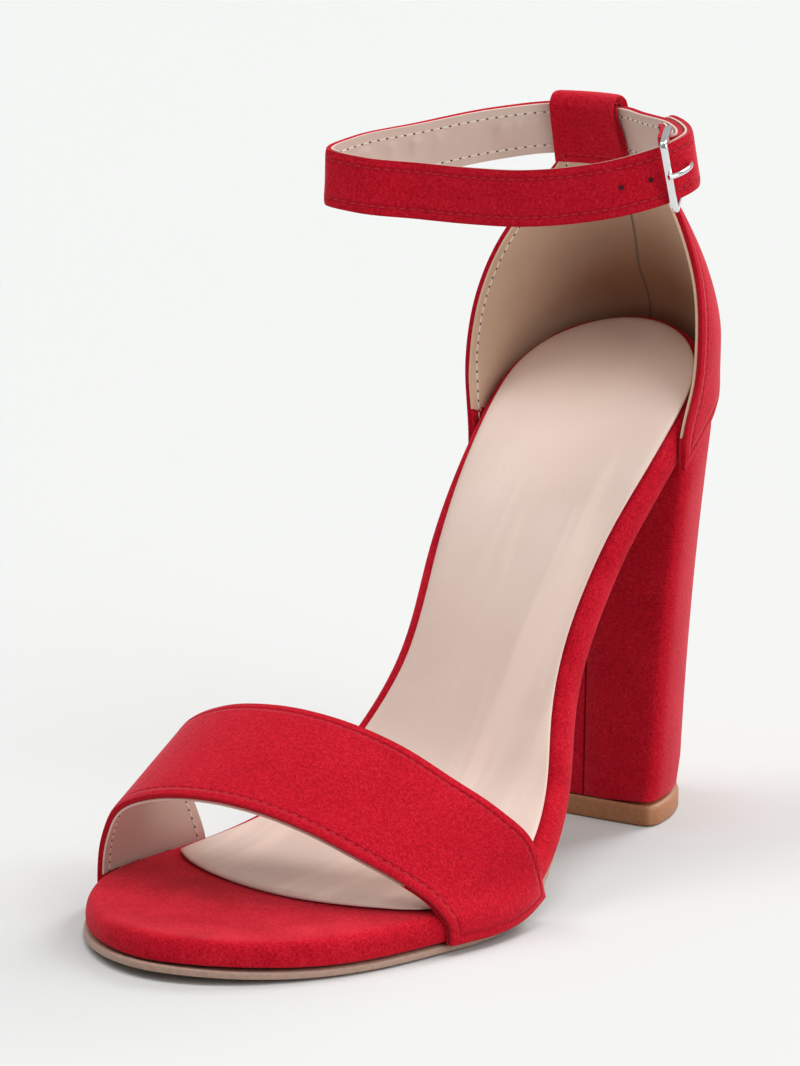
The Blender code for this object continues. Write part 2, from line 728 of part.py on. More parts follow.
def heel_sides(block, height):
    """The heel's outline at one share of its height: flat breast, rounded corners, rounded back."""
    chains = []
    for side in (1, -1):
        corner = np.array([block.centre + side * block.half, block.front])
        chain = [np.array([block.centre, block.front]), corner - [side * HEEL_CORNER, 0.0]]
        chain.append(corner + HEEL_CORNER * (1 - math.sqrt(0.5)) * np.array([-side, 1.0]))
        start = math.asin(HEEL_CORNER / (block.back - block.front))
        for angle in np.linspace(start, math.pi / 2, HEEL_SIDE_POINTS):
            x = block.centre + side * block.half * math.cos(angle) ** (2 / HEEL_POWER)
            y = block.front + (block.back - block.front) * math.sin(angle) ** (2 / HEEL_POWER)
            chain.append(np.array([x, y]))
        chain[-1][0] = block.centre
        chains.append(chain)
    return Sides(*[[np.array([x, y, height(x, y)]) for x, y in chain] for chain in chains])


def heel_mesh():
    """The block between its top piece and the underside of the seat."""
    roof = heel_sides(HEEL[-1], lambda x, y: underside(y) - GAP)
    layers = []
    for block in HEEL:
        sides = heel_sides(block, lambda x, y: 0.0)
        for chain, top in zip(sides, roof):
            for point, over in zip(chain, top):
                point[2] = HEEL_BASE + block.share * (over[2] - HEEL_BASE)
        layers.append(sides)
    return stacked("heel_block", layers)


def top_piece_mesh():
    foot, cut = HEEL[0], TOP_PIECE_CHAMFER
    low = foot._replace(half=foot.half - cut, front=foot.front + cut, back=foot.back - cut)
    layers = [heel_sides(low, lambda x, y: 0.0)]
    for height in (cut, TOP_PIECE_THICK):
        layers.append(heel_sides(HEEL[0], lambda x, y, z=height: z))
    return stacked("top_piece", layers)


# Looks of the materials: linear colour, roughness and metal share.
Look = namedtuple("Look", "name colour roughness metallic")
RED_SUEDE = Look("red_suede", (0.58, 0.010, 0.027), 0.9, 0.0)
BEIGE_LINING = Look("beige_lining", (0.69, 0.52, 0.43), 0.45, 0.0)
TAN_SOLE = Look("tan_sole", (0.55, 0.31, 0.17), 0.6, 0.0)
TAN_RUBBER = Look("tan_rubber", (0.46, 0.22, 0.10), 0.55, 0.0)
BRIGHT_STEEL = Look("bright_steel", (0.82, 0.82, 0.84), 0.15, 1.0)


def material_of(look):
    material = bpy.data.materials.get(look.name)
    if material is None:
        material = bpy.data.materials.new(look.name)
        material.use_nodes = True
        shader = material.node_tree.nodes["Principled BSDF"]
        shader.inputs["Base Color"].default_value = (*look.colour, 1.0)
        shader.inputs["Roughness"].default_value = look.roughness
        shader.inputs["Metallic"].default_value = look.metallic
    return material


def place_piece(mesh, look, root):
    item = bpy.data.objects.new(mesh.name, mesh)
    bpy.context.scene.collection.objects.link(item)
    item.parent = root
    if look:
        mesh.materials.append(material_of(look))
    return item


def cut_from(item, mesh, root):
    cutter = place_piece(mesh, None, root)
    cutter.hide_render = True
    cutter.display_type = "WIRE"
    modifier = item.modifiers.new(mesh.name, "BOOLEAN")
    modifier.operation = "DIFFERENCE"
    modifier.solver = "EXACT"
    modifier.object = cutter


def main():
    for item in list(bpy.data.objects):
        bpy.data.objects.remove(item)
    root = bpy.data.objects.new("shoe", None)
    bpy.context.scene.collection.objects.link(root)
    root.location = (-PLAN_CENTRE_X * MM, -PLAN_CENTRE_Y * MM, 0.0)
    place_piece(outsole_mesh(), TAN_SOLE, root)
    place_piece(footbed_mesh(), RED_SUEDE, root)
    place_piece(sock_mesh(), BEIGE_LINING, root)
    place_piece(heel_mesh(), RED_SUEDE, root)
    place_piece(top_piece_mesh(), TAN_RUBBER, root)
    place_piece(toe_strap_mesh(), RED_SUEDE, root)
    place_piece(counter_mesh(), RED_SUEDE, root)
    strap = place_piece(ankle_strap_mesh(), RED_SUEDE, root)
    for cutter in strap_cutters():
        cut_from(strap, cutter, root)
    place_piece(buckle_mesh(), BRIGHT_STEEL, root)
    place_piece(bar("buckle_prong", prong_path(), round_section(PRONG_RADIUS), False), BRIGHT_STEEL, root)


main()
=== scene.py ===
"""Left ankle strap heel in red suede, dressed over its CAD frame and set on a pale studio floor.

Sizes are in millimetres and become metres when a mesh is made. The toe points to -Y, the outer (buckle) side
of the foot is +X and up is +Z.
"""

from __future__ import annotations

import logging
import math
from contextlib import contextmanager
from dataclasses import dataclass, field
from enum import Enum
from typing import Callable, Iterator, NamedTuple, Sequence

import bmesh
import bpy
import numpy as np
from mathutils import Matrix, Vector
from mathutils.bvhtree import BVHTree
from mathutils.kdtree import KDTree


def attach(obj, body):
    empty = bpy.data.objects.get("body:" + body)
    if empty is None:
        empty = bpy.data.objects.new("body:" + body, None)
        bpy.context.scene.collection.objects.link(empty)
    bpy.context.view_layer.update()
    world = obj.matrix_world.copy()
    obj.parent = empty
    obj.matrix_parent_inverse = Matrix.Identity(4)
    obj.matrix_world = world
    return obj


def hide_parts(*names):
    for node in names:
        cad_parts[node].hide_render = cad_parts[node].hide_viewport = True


log = logging.getLogger("ankle_strap_heel")

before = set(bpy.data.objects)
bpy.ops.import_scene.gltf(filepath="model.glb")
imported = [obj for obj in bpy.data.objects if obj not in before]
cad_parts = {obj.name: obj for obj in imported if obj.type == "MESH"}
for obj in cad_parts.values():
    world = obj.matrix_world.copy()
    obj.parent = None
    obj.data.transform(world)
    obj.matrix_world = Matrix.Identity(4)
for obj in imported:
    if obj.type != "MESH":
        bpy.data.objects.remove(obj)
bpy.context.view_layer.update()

MM = 0.001
BODY = "root"
# The strap's table has Y 0 at the back end of the footbed; this moves it to the shoe's own frame.
TABLE_SHIFT = np.array([2.21, 97.0, 0.0])

UP = (0.0, 0.0, 1.0)
# The seam of the heel's cover, down the breast, by its X.
BREAST_SEAM = 5.2

Colour = tuple[float, float, float]
Place = tuple[float, float, float]
Piece = bpy.types.Object
Material = bpy.types.Material
Socket = bpy.types.NodeSocket


class Slot(Enum):
    """The record's material slots."""

    SUEDE = "red_suede"
    LINING = "beige_lining"
    SOLE = "tan_sole"
    RUBBER = "tan_rubber"
    STEEL = "bright_steel"


class Side(Enum):
    """The two faces of a sheet."""

    OUTER = 1
    INNER = -1


class Signal:
    """A number that varies over a surface, with plain arithmetic."""

    def __init__(self, graph: Graph, socket: Socket) -> None:
        """Wraps one output socket of the graph."""
        self.graph = graph
        self.socket = socket

    def _maths(self, operation: str, *values: Signal | float) -> Signal:
        """A maths node over the given values."""
        made = self.graph.node("ShaderNodeMath", {"operation": operation}, dict(enumerate(values)))
        return Signal(self.graph, made.outputs[0])

    def __add__(self, other: Signal | float) -> Signal:
        """This plus another value."""
        return self._maths("ADD", self, other)

    def __sub__(self, other: Signal | float) -> Signal:
        """This less another value."""
        return self._maths("SUBTRACT", self, other)

    def __rsub__(self, other: float) -> Signal:
        """A number less this."""
        return self._maths("SUBTRACT", other, self)

    def __mul__(self, other: Signal | float) -> Signal:
        """This times another value."""
        return self._maths("MULTIPLY", self, other)

    def __truediv__(self, other: Signal | float) -> Signal:
        """This over another value."""
        return self._maths("DIVIDE", self, other)

    __radd__ = __add__
    __rmul__ = __mul__

    def absolute(self) -> Signal:
        """The size of this, without its sign."""
        return self._maths("ABSOLUTE", self)

    def ramp(self, low: float, high: float) -> Signal:
        """A soft step.

        Args:
            low: the value up to which it is 0.
            high: the value from which it is 1.

        Returns:
            The step.
        """
        settings = {"interpolation_type": "SMOOTHSTEP"}
        inputs = {"Value": self, "From Min": low, "From Max": high}
        return Signal(self.graph, self.graph.node("ShaderNodeMapRange", settings, inputs).outputs["Result"])

    def bell(self, middle: float, spread: float) -> Signal:
        """A soft bump from 0 to 1 and back, round a middle value."""
        return 1.0 - (self - middle).absolute().ramp(0.0, spread)


class Nodes:
    """A node tree that takes nodes by their type, settings and inputs."""

    def __init__(self, tree: bpy.types.NodeTree) -> None:
        """Takes on the tree."""
        self.tree = tree

    def node(self, kind: str, settings: dict | None = None, inputs: dict | None = None) -> bpy.types.Node:
        """Adds a node.

        Args:
            kind: Blender's type name.
            settings: properties to set on it.
            inputs: values, sockets or signals for its inputs, by name or number.

        Returns:
            The new node.
        """
        made = self.tree.nodes.new(kind)
        for key, value in (settings or {}).items():
            setattr(made, key, value)
        for key, value in (inputs or {}).items():
            self.feed(made.inputs[key], value)
        return made

    def feed(self, target: Socket, value: object) -> None:
        """Fills an input.

        Args:
            target: the input.
            value: a socket or signal, which is linked to it, or a plain value, which is set on it.
        """
        source = getattr(value, "socket", value)
        if isinstance(source, Socket):
            self.tree.links.new(source, target)
        else:
            target.default_value = source


class Graph(Nodes):
    """The node tree of one material, with its Principled shader."""

    NOISE_ROUGHNESS = 0.6

    def __init__(self, name: str) -> None:
        """Starts an empty material.

        Args:
            name: the material's name.
        """
        self.material = bpy.data.materials.new(name)
        self.material.use_nodes = True
        super().__init__(self.material.node_tree)
        self.shader = self.tree.nodes["Principled BSDF"]
        self.place = self.node("ShaderNodeTexCoord").outputs["Object"]

    def along(self, axis: str) -> Signal:
        """The coordinate along X, Y or Z, in millimetres."""
        split = self.node("ShaderNodeSeparateXYZ", None, {0: self.place})
        return Signal(self, split.outputs[axis]) / MM

    def away(self, place: Place) -> Signal:
        """The distance from a place.

        Args:
            place: the place, in millimetres.

        Returns:
            The distance, in millimetres.
        """
        ends = {0: self.place, 1: tuple(value * MM for value in place)}
        made = self.node("ShaderNodeVectorMath", {"operation": "DISTANCE"}, ends)
        return Signal(self, made.outputs["Value"]) / MM

    def stretched(self, x: float, y: float, z: float) -> Socket:
        """Object coordinates with each axis drawn out by its own factor."""
        settings = {"operation": "DIVIDE"}
        return self.node("ShaderNodeVectorMath", settings, {0: self.place, 1: (x, y, z)}).outputs[0]

    def noise(self, size: float, detail: float = 2.0, where: Socket | None = None) -> Signal:
        """Noise over the surface.

        Args:
            size: the rough size of its features, in millimetres.
            detail: how many finer layers it has.
            where: the coordinates to read instead of the piece's own.

        Returns:
            The noise, about 0.5 on average.
        """
        inputs = {"Vector": where or self.place, "Scale": 1.0 / (size * MM), "Detail": detail}
        inputs["Roughness"] = self.NOISE_ROUGHNESS
        return Signal(self, self.node("ShaderNodeTexNoise", None, inputs).outputs["Fac"])

    def attribute(self, name: str) -> Signal:
        """A number stored on the piece's own vertices."""
        return Signal(self, self.node("ShaderNodeAttribute", {"attribute_name": name}).outputs["Fac"])

    def mix(self, share: Signal | float, low: object, high: object) -> Socket:
        """A colour between two others.

        Args:
            share: how much of the second there is.
            low: the first, a socket or a colour.
            high: the second.

        Returns:
            The mixed colour.
        """
        inputs = {0: share}
        for key, value in ((6, low), (7, high)):
            inputs[key] = (*value, 1.0) if isinstance(value, tuple) else value
        return self.node("ShaderNodeMix", {"data_type": "RGBA"}, inputs).outputs[2]

    def relief(self, height: Signal, depth: float, strength: float = 1.0) -> None:
        """Bumps the surface.

        Args:
            height: the height at each place.
            depth: what a height of 1 is worth, in millimetres.
            strength: the share of the bump that shows.
        """
        inputs = {"Height": height, "Distance": depth * MM, "Strength": strength}
        self.feed(self.shader.inputs["Normal"], self.node("ShaderNodeBump", None, inputs).outputs[0])

    def finish(self, **values: object) -> Material:
        """Feeds the shader.

        Args:
            values: values, sockets or signals for its inputs, named with underscores.

        Returns:
            The material.
        """
        for key, value in values.items():
            if isinstance(value, tuple):
                value = (*value, 1.0)
            self.feed(self.shader.inputs[key.replace("_", " ")], value)
        return self.material


class Seam(NamedTuple):
    """An upright seam: its X at a height, its lean in X over Z, and the range of Y where it shows."""

    x: float
    z: float
    lean: float
    front: float
    back: float

    def signals(self, graph: Graph) -> tuple[Signal, Signal]:
        """Finds the seam on a surface.

        Args:
            graph: the material's nodes.

        Returns:
            The distance to the right of the seam, and 1 where the seam shows.
        """
        across = graph.along("X") - self.x - (graph.along("Z") - self.z) * self.lean
        depth = graph.along("Y")
        begun = depth.ramp(self.front, self.front + 1.0)
        return across, begun * (1.0 - depth.ramp(self.back, self.back + 1.0))


class PaintedPatch(NamedTuple):
    """A soft round area of painted light or painted shade, in another colour."""

    place: Place
    core: float
    reach: float
    colour: Colour


class Range(NamedTuple):
    """The two ends of a soft step."""

    low: float
    high: float


@dataclass(frozen=True)
class Suede:
    """Short-napped suede, with a shallow trough where a stitch line pulls it in, painted shade in that trough
    and along the sheet's edge, or a lapped seam.
    """

    name: str = "suede"
    deep: Colour = (0.32, 0.002, 0.009)
    middle: Colour = (0.53, 0.006, 0.020)
    light: Colour = (0.78, 0.050, 0.075)
    fibre: float = 0.34
    fibre_share: float = 0.45
    nap: float = 0.75
    nap_share: float = 0.32
    cloud: float = 13.0
    cloudy: float = 0.24
    middle_tones: Range = Range(0.36, 0.54)
    light_tones: Range = Range(0.5, 0.7)
    lightest: float = 0.5
    depth: float = 0.2
    roughness: float = 0.95
    sheen: float = 0.42
    sheen_colour: Colour = (1.0, 0.34, 0.40)
    stitch_inset: float = 0.0
    trough_half: float = 0.75
    trough_depth: float = 1.6
    painted_edge_shade: Range = Range(0.1, 0.7)
    seam: Seam | None = None
    seam_half: float = 0.5

    def material(self) -> Material:
        """Builds the finish.

        Returns:
            Its material.
        """
        graph = Graph(self.name)
        fibre = graph.noise(self.fibre, 2.0)
        nap = graph.noise(self.nap, 3.0)
        cloud = graph.noise(self.cloud, 3.0)
        # Noise is 0.5 on average, so a half of the share that is left keeps the tone level.
        level = 0.5 * (1.0 - self.fibre_share - self.nap_share - self.cloudy)
        tone = fibre * self.fibre_share + nap * self.nap_share + cloud * self.cloudy + level
        colour = graph.mix(tone.ramp(*self.middle_tones), self.deep, self.middle)
        colour = graph.mix(tone.ramp(*self.light_tones) * self.lightest, colour, self.light)
        height = fibre * 0.5 + nap * 0.5
        if self.stitch_inset:
            edge = graph.attribute("edge")
            trough = edge.bell(self.stitch_inset, self.trough_half)
            # Painted shade: the colour darkens in the stitch line's trough and along the sheet's edge.
            painted_shade = trough * 0.4 + (1.0 - edge.ramp(*self.painted_edge_shade)) * 0.3
            colour = graph.mix(painted_shade, colour, self.deep)
            height = height - trough * self.trough_depth
        if self.seam:
            across, shown = self.seam.signals(graph)
            dark = tuple(value * 0.4 for value in self.deep)
            colour = graph.mix(across.bell(0.0, self.seam_half) * shown * 0.75, colour, dark)
        graph.relief(height, self.depth, 0.85)
        return graph.finish(
            Base_Color=colour,
            Roughness=self.roughness,
            Specular_IOR_Level=0.08,
            Sheen_Weight=self.sheen,
            Sheen_Roughness=0.38,
            Sheen_Tint=self.sheen_colour,
        )


@dataclass(frozen=True)
class Leather:
    """Smooth beige lining leather with a fine grain and a satin gloss, and, where given, painted reflections
    in streaks and a patch of painted light or painted shade.
    """

    name: str
    colour: Colour
    shade: Colour
    roughness: float = 0.46
    grain: float = 0.7
    mottle: float = 22.0
    mottle_tones: Range = Range(0.35, 0.7)
    streak: float = 9.0
    painted_gloss_tones: Range = Range(0.48, 0.7)
    streaks: float = 0.0
    depth: float = 0.05
    painted_patch: PaintedPatch | None = None
    seam: Seam | None = None
    seam_half: float = 0.6
    seam_depth: float = 3.0

    def material(self) -> Material:
        """Builds the finish.

        Returns:
            Its material.
        """
        graph = Graph(self.name)
        grain = graph.noise(self.grain, 3.0)
        mottle = graph.noise(self.mottle, 3.0)
        # The streaks run along the foot, drawn out to this many times their width.
        drawn = 9.0
        streak = graph.noise(self.streak, 2.0, graph.stretched(1.0, drawn, drawn))
        colour = graph.mix(mottle.ramp(*self.mottle_tones) * 0.6, self.colour, self.shade)
        # Painted reflection: pale streaks along the foot stand in for the lamps' reflections in the satin
        # gloss; the same streaks also ripple the bump and the roughness.
        if self.streaks:
            pale = tuple(min(1.0, value * 1.12 + 0.03) for value in self.colour)
            colour = graph.mix(streak.ramp(*self.painted_gloss_tones) * 0.7, colour, pale)
        if self.painted_patch:
            near = 1.0 - graph.away(self.painted_patch.place).ramp(self.painted_patch.core, self.painted_patch.reach)
            colour = graph.mix(near, colour, self.painted_patch.colour)
        height = grain + streak * self.streaks
        if self.seam:
            across, shown = self.seam.signals(graph)
            line = across.bell(0.0, self.seam_half) * shown
            colour = graph.mix(line * 0.8, colour, tuple(value * 0.15 for value in self.shade))
            height = height - line * self.seam_depth
        rough = self.roughness + (grain - 0.5) * 0.12 + (streak - 0.5) * self.streaks
        graph.relief(height, self.depth, 0.5)
        return graph.finish(Base_Color=colour, Roughness=rough, Specular_IOR_Level=0.4)


@dataclass(frozen=True)
class Plain:
    """An even material with a little mottling, such as a sole sheet, rubber, steel or thread."""

    name: str
    colour: Colour
    shade: Colour
    roughness: float
    metallic: float = 0.0
    grain: float = 1.0
    depth: float = 0.03

    def material(self) -> Material:
        """Builds the finish.

        Returns:
            Its material.
        """
        graph = Graph(self.name)
        grain = graph.noise(self.grain, 3.0)
        colour = graph.mix(grain.ramp(0.3, 0.7), self.shade, self.colour)
        graph.relief(grain, self.depth, 0.6)
        rough = self.roughness + (grain - 0.5) * 0.08
        return graph.finish(Base_Color=colour, Roughness=rough, Metallic=self.metallic)


class Finishes:
    """The shoe's finishes, each made once."""

    def __init__(self) -> None:
        """Makes every material."""
        breast_seam = Seam(BREAST_SEAM, 15.0, 0.0, 40.0, 76.0)
        back_seam = Seam(-1.8, 117.0, 0.139, 70.0, 120.0)
        # Painted shade: the cup lining darkens to brown round the deep of the cup, where the cup shades
        # itself.
        painted_cup_shade = PaintedPatch((0.0, 94.0, 121.0), 7.0, 40.0, (0.25, 0.112, 0.060))
        # Painted light: the sock turns paler round its seat, where the lamps light it.
        painted_sock_light = PaintedPatch((0.0, 72.0, 98.0), 8.0, 42.0, (0.88, 0.69, 0.59))
        beige, beige_with_painted_shade = (0.68, 0.53, 0.46), (0.68, 0.48, 0.345)
        # The cup lining's tan colours are the beige lining with painted shade and painted red bounce light
        # from the suede.
        cup = Leather("cup_lining", beige_with_painted_shade, (0.60, 0.41, 0.285), painted_patch=painted_cup_shade, seam=back_seam)
        pale = (0.74, 0.57, 0.490)
        sock = Leather("sock", pale, (0.70, 0.52, 0.440), 0.34, 1.1, streaks=0.25, painted_patch=painted_sock_light)
        steel = Plain("steel", (0.80, 0.80, 0.81), (0.74, 0.74, 0.76), 0.14, metallic=1.0, depth=0.004)
        red = Plain("red_thread", (0.50, 0.008, 0.020), (0.40, 0.006, 0.016), 0.8, grain=0.3)
        cream = Plain("cream_thread", (0.90, 0.82, 0.74), (0.80, 0.69, 0.60), 0.7, grain=0.3)
        self.suede = Suede(cloudy=0.1).material()
        self.bed_suede = Suede("bed_suede", cloudy=0.3, sheen=0.22).material()
        self.stitched_suede = Suede("stitched_suede", cloudy=0.08, stitch_inset=2.1).material()
        self.heel_suede = Suede("heel_suede", cloudy=0.12, seam=breast_seam).material()
        self.lining = Leather("lining", beige, (0.58, 0.43, 0.36)).material()
        self.cup_lining = cup.material()
        self.sock = sock.material()
        # The sock's side faces get a paler pink: its cut edge, with a painted highlight along the rim.
        self.sock_edge = Plain("sock_edge", (0.80, 0.60, 0.54), (0.74, 0.52, 0.46), 0.7).material()
        # The sole sheet's tan is darkened below its own colour as painted shade, for the contact shadow along
        # its edge.
        self.sole = Plain("sole_sheet", (0.43, 0.28, 0.215), (0.37, 0.23, 0.175), 0.55).material()
        self.rubber = Plain("top_rubber", (0.42, 0.18, 0.075), (0.36, 0.14, 0.055), 0.5).material()
        self.steel = steel.material()
        self.red_thread = red.material()
        self.cream_thread = cream.material()
        # Painted shade: dark stand-ins for the shade inside the needle holes by the lining stitches.
        self.needle_hole_shade = Plain("needle_hole_shade", (0.05, 0.022, 0.016), (0.03, 0.012, 0.01), 0.9).material()
        # Painted shade: the dark inside of the strap's punched holes.
        self.punched = Plain("punched_hole_shade", (0.075, 0.002, 0.005), (0.05, 0.001, 0.003), 1.0).material()


class Bench:
    """Blender's modelling operators, each used on one piece at a time."""

    MERGE = 0.005
    QUAD_TURN = 0.7
    QUAD_SHAPE = 1.6
    SHEET_BEND = 70.0
    PIT_RIM = 0.3
    PIT_DEPTH = 0.08

    @staticmethod
    def pick(piece: Piece) -> None:
        """Selects one piece.

        Args:
            piece: the piece that becomes the only selected object, and the active one.
        """
        bpy.ops.object.select_all(action="DESELECT")
        piece.select_set(True)
        bpy.context.view_layer.objects.active = piece

    @staticmethod
    @contextmanager
    def editing(piece: Piece, mode: str = "FACE") -> Iterator[None]:
        """Holds a piece in edit mode, all selected, for the steps inside it.

        Args:
            piece: the piece to edit.
            mode: what is selected in it, faces or edges.
        """
        Bench.pick(piece)
        bpy.ops.object.mode_set(mode="EDIT")
        bpy.ops.mesh.select_mode(type=mode)
        bpy.ops.mesh.select_all(action="SELECT")
        yield
        bpy.ops.object.mode_set(mode="OBJECT")

    @staticmethod
    def apply(piece: Piece, kind: str, **settings: object) -> None:
        """Adds a modifier and applies it.

        Args:
            piece: the piece to change.
            kind: the modifier's type.
            settings: its properties.
        """
        Bench.pick(piece)
        modifier = piece.modifiers.new(kind.lower(), kind)
        for key, value in settings.items():
            setattr(modifier, key, value)
        bpy.ops.object.modifier_apply(modifier=modifier.name)

    @staticmethod
    def smooth(piece: Piece, levels: int, passes: int = 0) -> None:
        """Rounds the piece with a subdivision surface.

        Args:
            piece: the piece to round.
            levels: how often it is divided.
            passes: how often it is drawn back to its own vertices, which suits even sheets alone.
        """
        wanted = Bench.coordinates(piece)
        modifier = piece.modifiers.new("rounding", "SUBSURF")
        modifier.levels = modifier.render_levels = levels
        modifier.boundary_smooth = "PRESERVE_CORNERS"
        for _ in range(passes):
            shown = Bench.coordinates(piece.evaluated_get(bpy.context.evaluated_depsgraph_get()))
            Bench.place(piece, Bench.coordinates(piece) + wanted - shown[: len(wanted)])
        Bench.pick(piece)
        bpy.ops.object.modifier_apply(modifier=modifier.name)

    @staticmethod
    def copy_node(node: str, name: str) -> Piece:
        """A merged copy of a CAD node.

        Args:
            node: the CAD node.
            name: the new piece's name.

        Returns:
            The copy, in triangles.
        """
        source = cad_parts[node]
        mesh = source.data.copy()
        mesh.transform(source.matrix_world)
        mesh.materials.clear()
        mesh.name = name
        piece = bpy.data.objects.new(name, mesh)
        bpy.context.scene.collection.objects.link(piece)
        with Bench.editing(piece):
            bpy.ops.mesh.remove_doubles(threshold=Bench.MERGE * MM)
            bpy.ops.mesh.normals_make_consistent(inside=False)
        return piece

    @staticmethod
    def quads(piece: Piece) -> Piece:
        """Joins triangles to quads.

        Args:
            piece: the piece to change.

        Returns:
            The same piece.
        """
        with Bench.editing(piece):
            turn, shape = Bench.QUAD_TURN, Bench.QUAD_SHAPE
            bpy.ops.mesh.tris_convert_to_quads(face_threshold=turn, shape_threshold=shape)
        return piece

    @staticmethod
    def rounded_copy(node: str, name: str, sharp: float, weight: float, levels: int = 2) -> Piece:
        """A copy of a CAD node under a subdivision surface.

        Args:
            node: the CAD node.
            name: the new piece's name.
            sharp: the angle in degrees from which an edge is held.
            weight: how firmly it is held, up to 1.
            levels: how often it is divided.

        Returns:
            The smooth piece.
        """
        piece = Bench.quads(Bench.copy_node(node, name))
        Bench.crease_sharp(piece, sharp, weight)
        Bench.smooth(piece, levels)
        Bench.shade(piece)
        return piece

    @staticmethod
    def crease_sharp(piece: Piece, degrees: float, weight: float) -> None:
        """Keeps sharp edges crisp under a subdivision surface.

        Args:
            piece: the piece to change.
            degrees: the angle from which an edge is held.
            weight: how firmly it is held, up to 1.
        """
        with Bench.editing(piece, "EDGE"):
            bpy.ops.mesh.select_all(action="DESELECT")
            bpy.ops.mesh.edges_select_sharp(sharpness=math.radians(degrees))
            bpy.ops.transform.edge_crease(value=weight)

    @staticmethod
    def outer_sheet(node: str, name: str, near: Sequence[float]) -> Piece:
        """The outer face of a CAD wall, as an open sheet.

        Args:
            node: the CAD node.
            name: the new piece's name.
            near: a point by that face, in millimetres.

        Returns:
            The sheet, in quads.
        """
        piece = Bench.copy_node(node, name)
        with Bench.editing(piece):
            bpy.ops.mesh.select_all(action="DESELECT")
            shape = bmesh.from_edit_mesh(piece.data)
            seed = Vector(near) * MM
            face = min(shape.faces, key=lambda f: (f.calc_center_median() - seed).length)
            face.select_set(True)
            bmesh.update_edit_mesh(piece.data)
            bpy.ops.mesh.faces_select_linked_flat(sharpness=math.radians(Bench.SHEET_BEND))
            bpy.ops.mesh.select_all(action="INVERT")
            bpy.ops.mesh.delete(type="FACE")
        return Bench.quads(piece)

    @staticmethod
    def grid(name: str, points: np.ndarray) -> Piece:
        """A sheet through rows of points.

        Args:
            name: the new piece's name.
            points: an array of rows, columns and coordinates, in millimetres.

        Returns:
            The sheet, in quads.
        """
        rows, columns = points.shape[:2]
        bpy.ops.object.select_all(action="DESELECT")
        bpy.ops.mesh.primitive_grid_add(x_subdivisions=columns - 1, y_subdivisions=rows - 1, size=2.0)
        piece = bpy.context.object
        piece.name = piece.data.name = name
        flat = Bench.coordinates(piece)
        column = np.rint((flat[:, 0] + 1) / 2 * (columns - 1)).astype(int)
        row = np.rint((flat[:, 1] + 1) / 2 * (rows - 1)).astype(int)
        Bench.place(piece, points[row, column] * MM)
        return piece

    @staticmethod
    def pit(name: str, place: np.ndarray, normal: np.ndarray, radius: float) -> Piece:
        """A small round hole's floor, with a raised rim; its dark finish is painted shade.

        Args:
            name: the new piece's name.
            place: its middle, in millimetres.
            normal: the way out of the surface.
            radius: its radius.

        Returns:
            The disc.
        """
        bpy.ops.object.select_all(action="DESELECT")
        turn = Vector(normal).to_track_quat("Z", "Y").to_euler()
        bpy.ops.mesh.primitive_circle_add(
            vertices=24, radius=radius * MM, fill_type="NGON", location=tuple(place * MM), rotation=turn
        )
        piece = bpy.context.object
        piece.name = piece.data.name = name
        with Bench.editing(piece):
            bpy.ops.mesh.inset(thickness=Bench.PIT_RIM * radius * MM, depth=-Bench.PIT_DEPTH * MM)
        bpy.ops.object.transform_apply(location=True, rotation=True, scale=True)
        return piece

    @staticmethod
    def read(piece: Piece, key: str) -> np.ndarray:
        """Reads a vector from each vertex of a piece.

        Args:
            piece: the piece.
            key: the vector's name in Blender.

        Returns:
            A row for each vertex.
        """
        flat = np.empty(len(piece.data.vertices) * 3)
        piece.data.vertices.foreach_get(key, flat)
        return flat.reshape(-1, 3)

    @staticmethod
    def coordinates(piece: Piece) -> np.ndarray:
        """The piece's vertices, in metres."""
        return Bench.read(piece, "co")

    @staticmethod
    def normals(piece: Piece) -> np.ndarray:
        """The piece's vertex normals."""
        return Bench.read(piece, "normal")

    @staticmethod
    def place(piece: Piece, points: np.ndarray) -> None:
        """Moves the piece's vertices to the points, in metres."""
        piece.data.vertices.foreach_set("co", points.ravel())
        piece.data.update()

    @staticmethod
    def push(piece: Piece, distance: np.ndarray | float) -> None:
        """Moves the vertices along their normals, by millimetres."""
        along = Bench.normals(piece) * MM
        Bench.place(piece, Bench.coordinates(piece) + along * np.reshape(distance, (-1, 1)))

    @staticmethod
    def lift(piece: Piece, distance: np.ndarray) -> None:
        """Moves the vertices up, by millimetres."""
        Bench.place(piece, Bench.coordinates(piece) + np.outer(distance, UP) * MM)

    @staticmethod
    def twin(piece: Piece, name: str) -> Piece:
        """A copy of a piece with its own mesh.

        Args:
            piece: the piece to copy.
            name: the copy's name.

        Returns:
            The copy.
        """
        other = bpy.data.objects.new(name, piece.data.copy())
        other.data.name = name
        bpy.context.scene.collection.objects.link(other)
        return other

    @staticmethod
    def shade(piece: Piece, degrees: float = 40.0) -> None:
        """Shades the piece smooth, except over edges that turn by more than an angle."""
        Bench.pick(piece)
        bpy.ops.object.shade_smooth_by_angle(angle=math.radians(degrees))


def dress(piece: Piece, material: Material, slot: Slot, *nodes: str) -> None:
    """Gives a piece its finish and ties it to the frame.

    Args:
        piece: the finished piece.
        material: its finish.
        slot: the record's material slot; not used.
        nodes: the CAD nodes that it stands for.
    """
    piece.data.materials.clear()
    piece.data.materials.append(material)
    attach(piece, BODY)
    if nodes:
        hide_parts(*nodes)
    log.info("%s: %d faces", piece.name, len(piece.data.polygons))


def repaint(piece: Piece, material: Material, chosen: Callable[[Vector, Vector], bool]) -> None:
    """Gives some faces of a dressed piece another finish.

    Args:
        piece: the dressed piece.
        material: the other finish.
        chosen: tells, from a face's middle in millimetres and its normal, whether it gets that finish.
    """
    piece.data.materials.append(material)
    for face in piece.data.polygons:
        face.material_index = int(chosen(face.center / MM, face.normal))


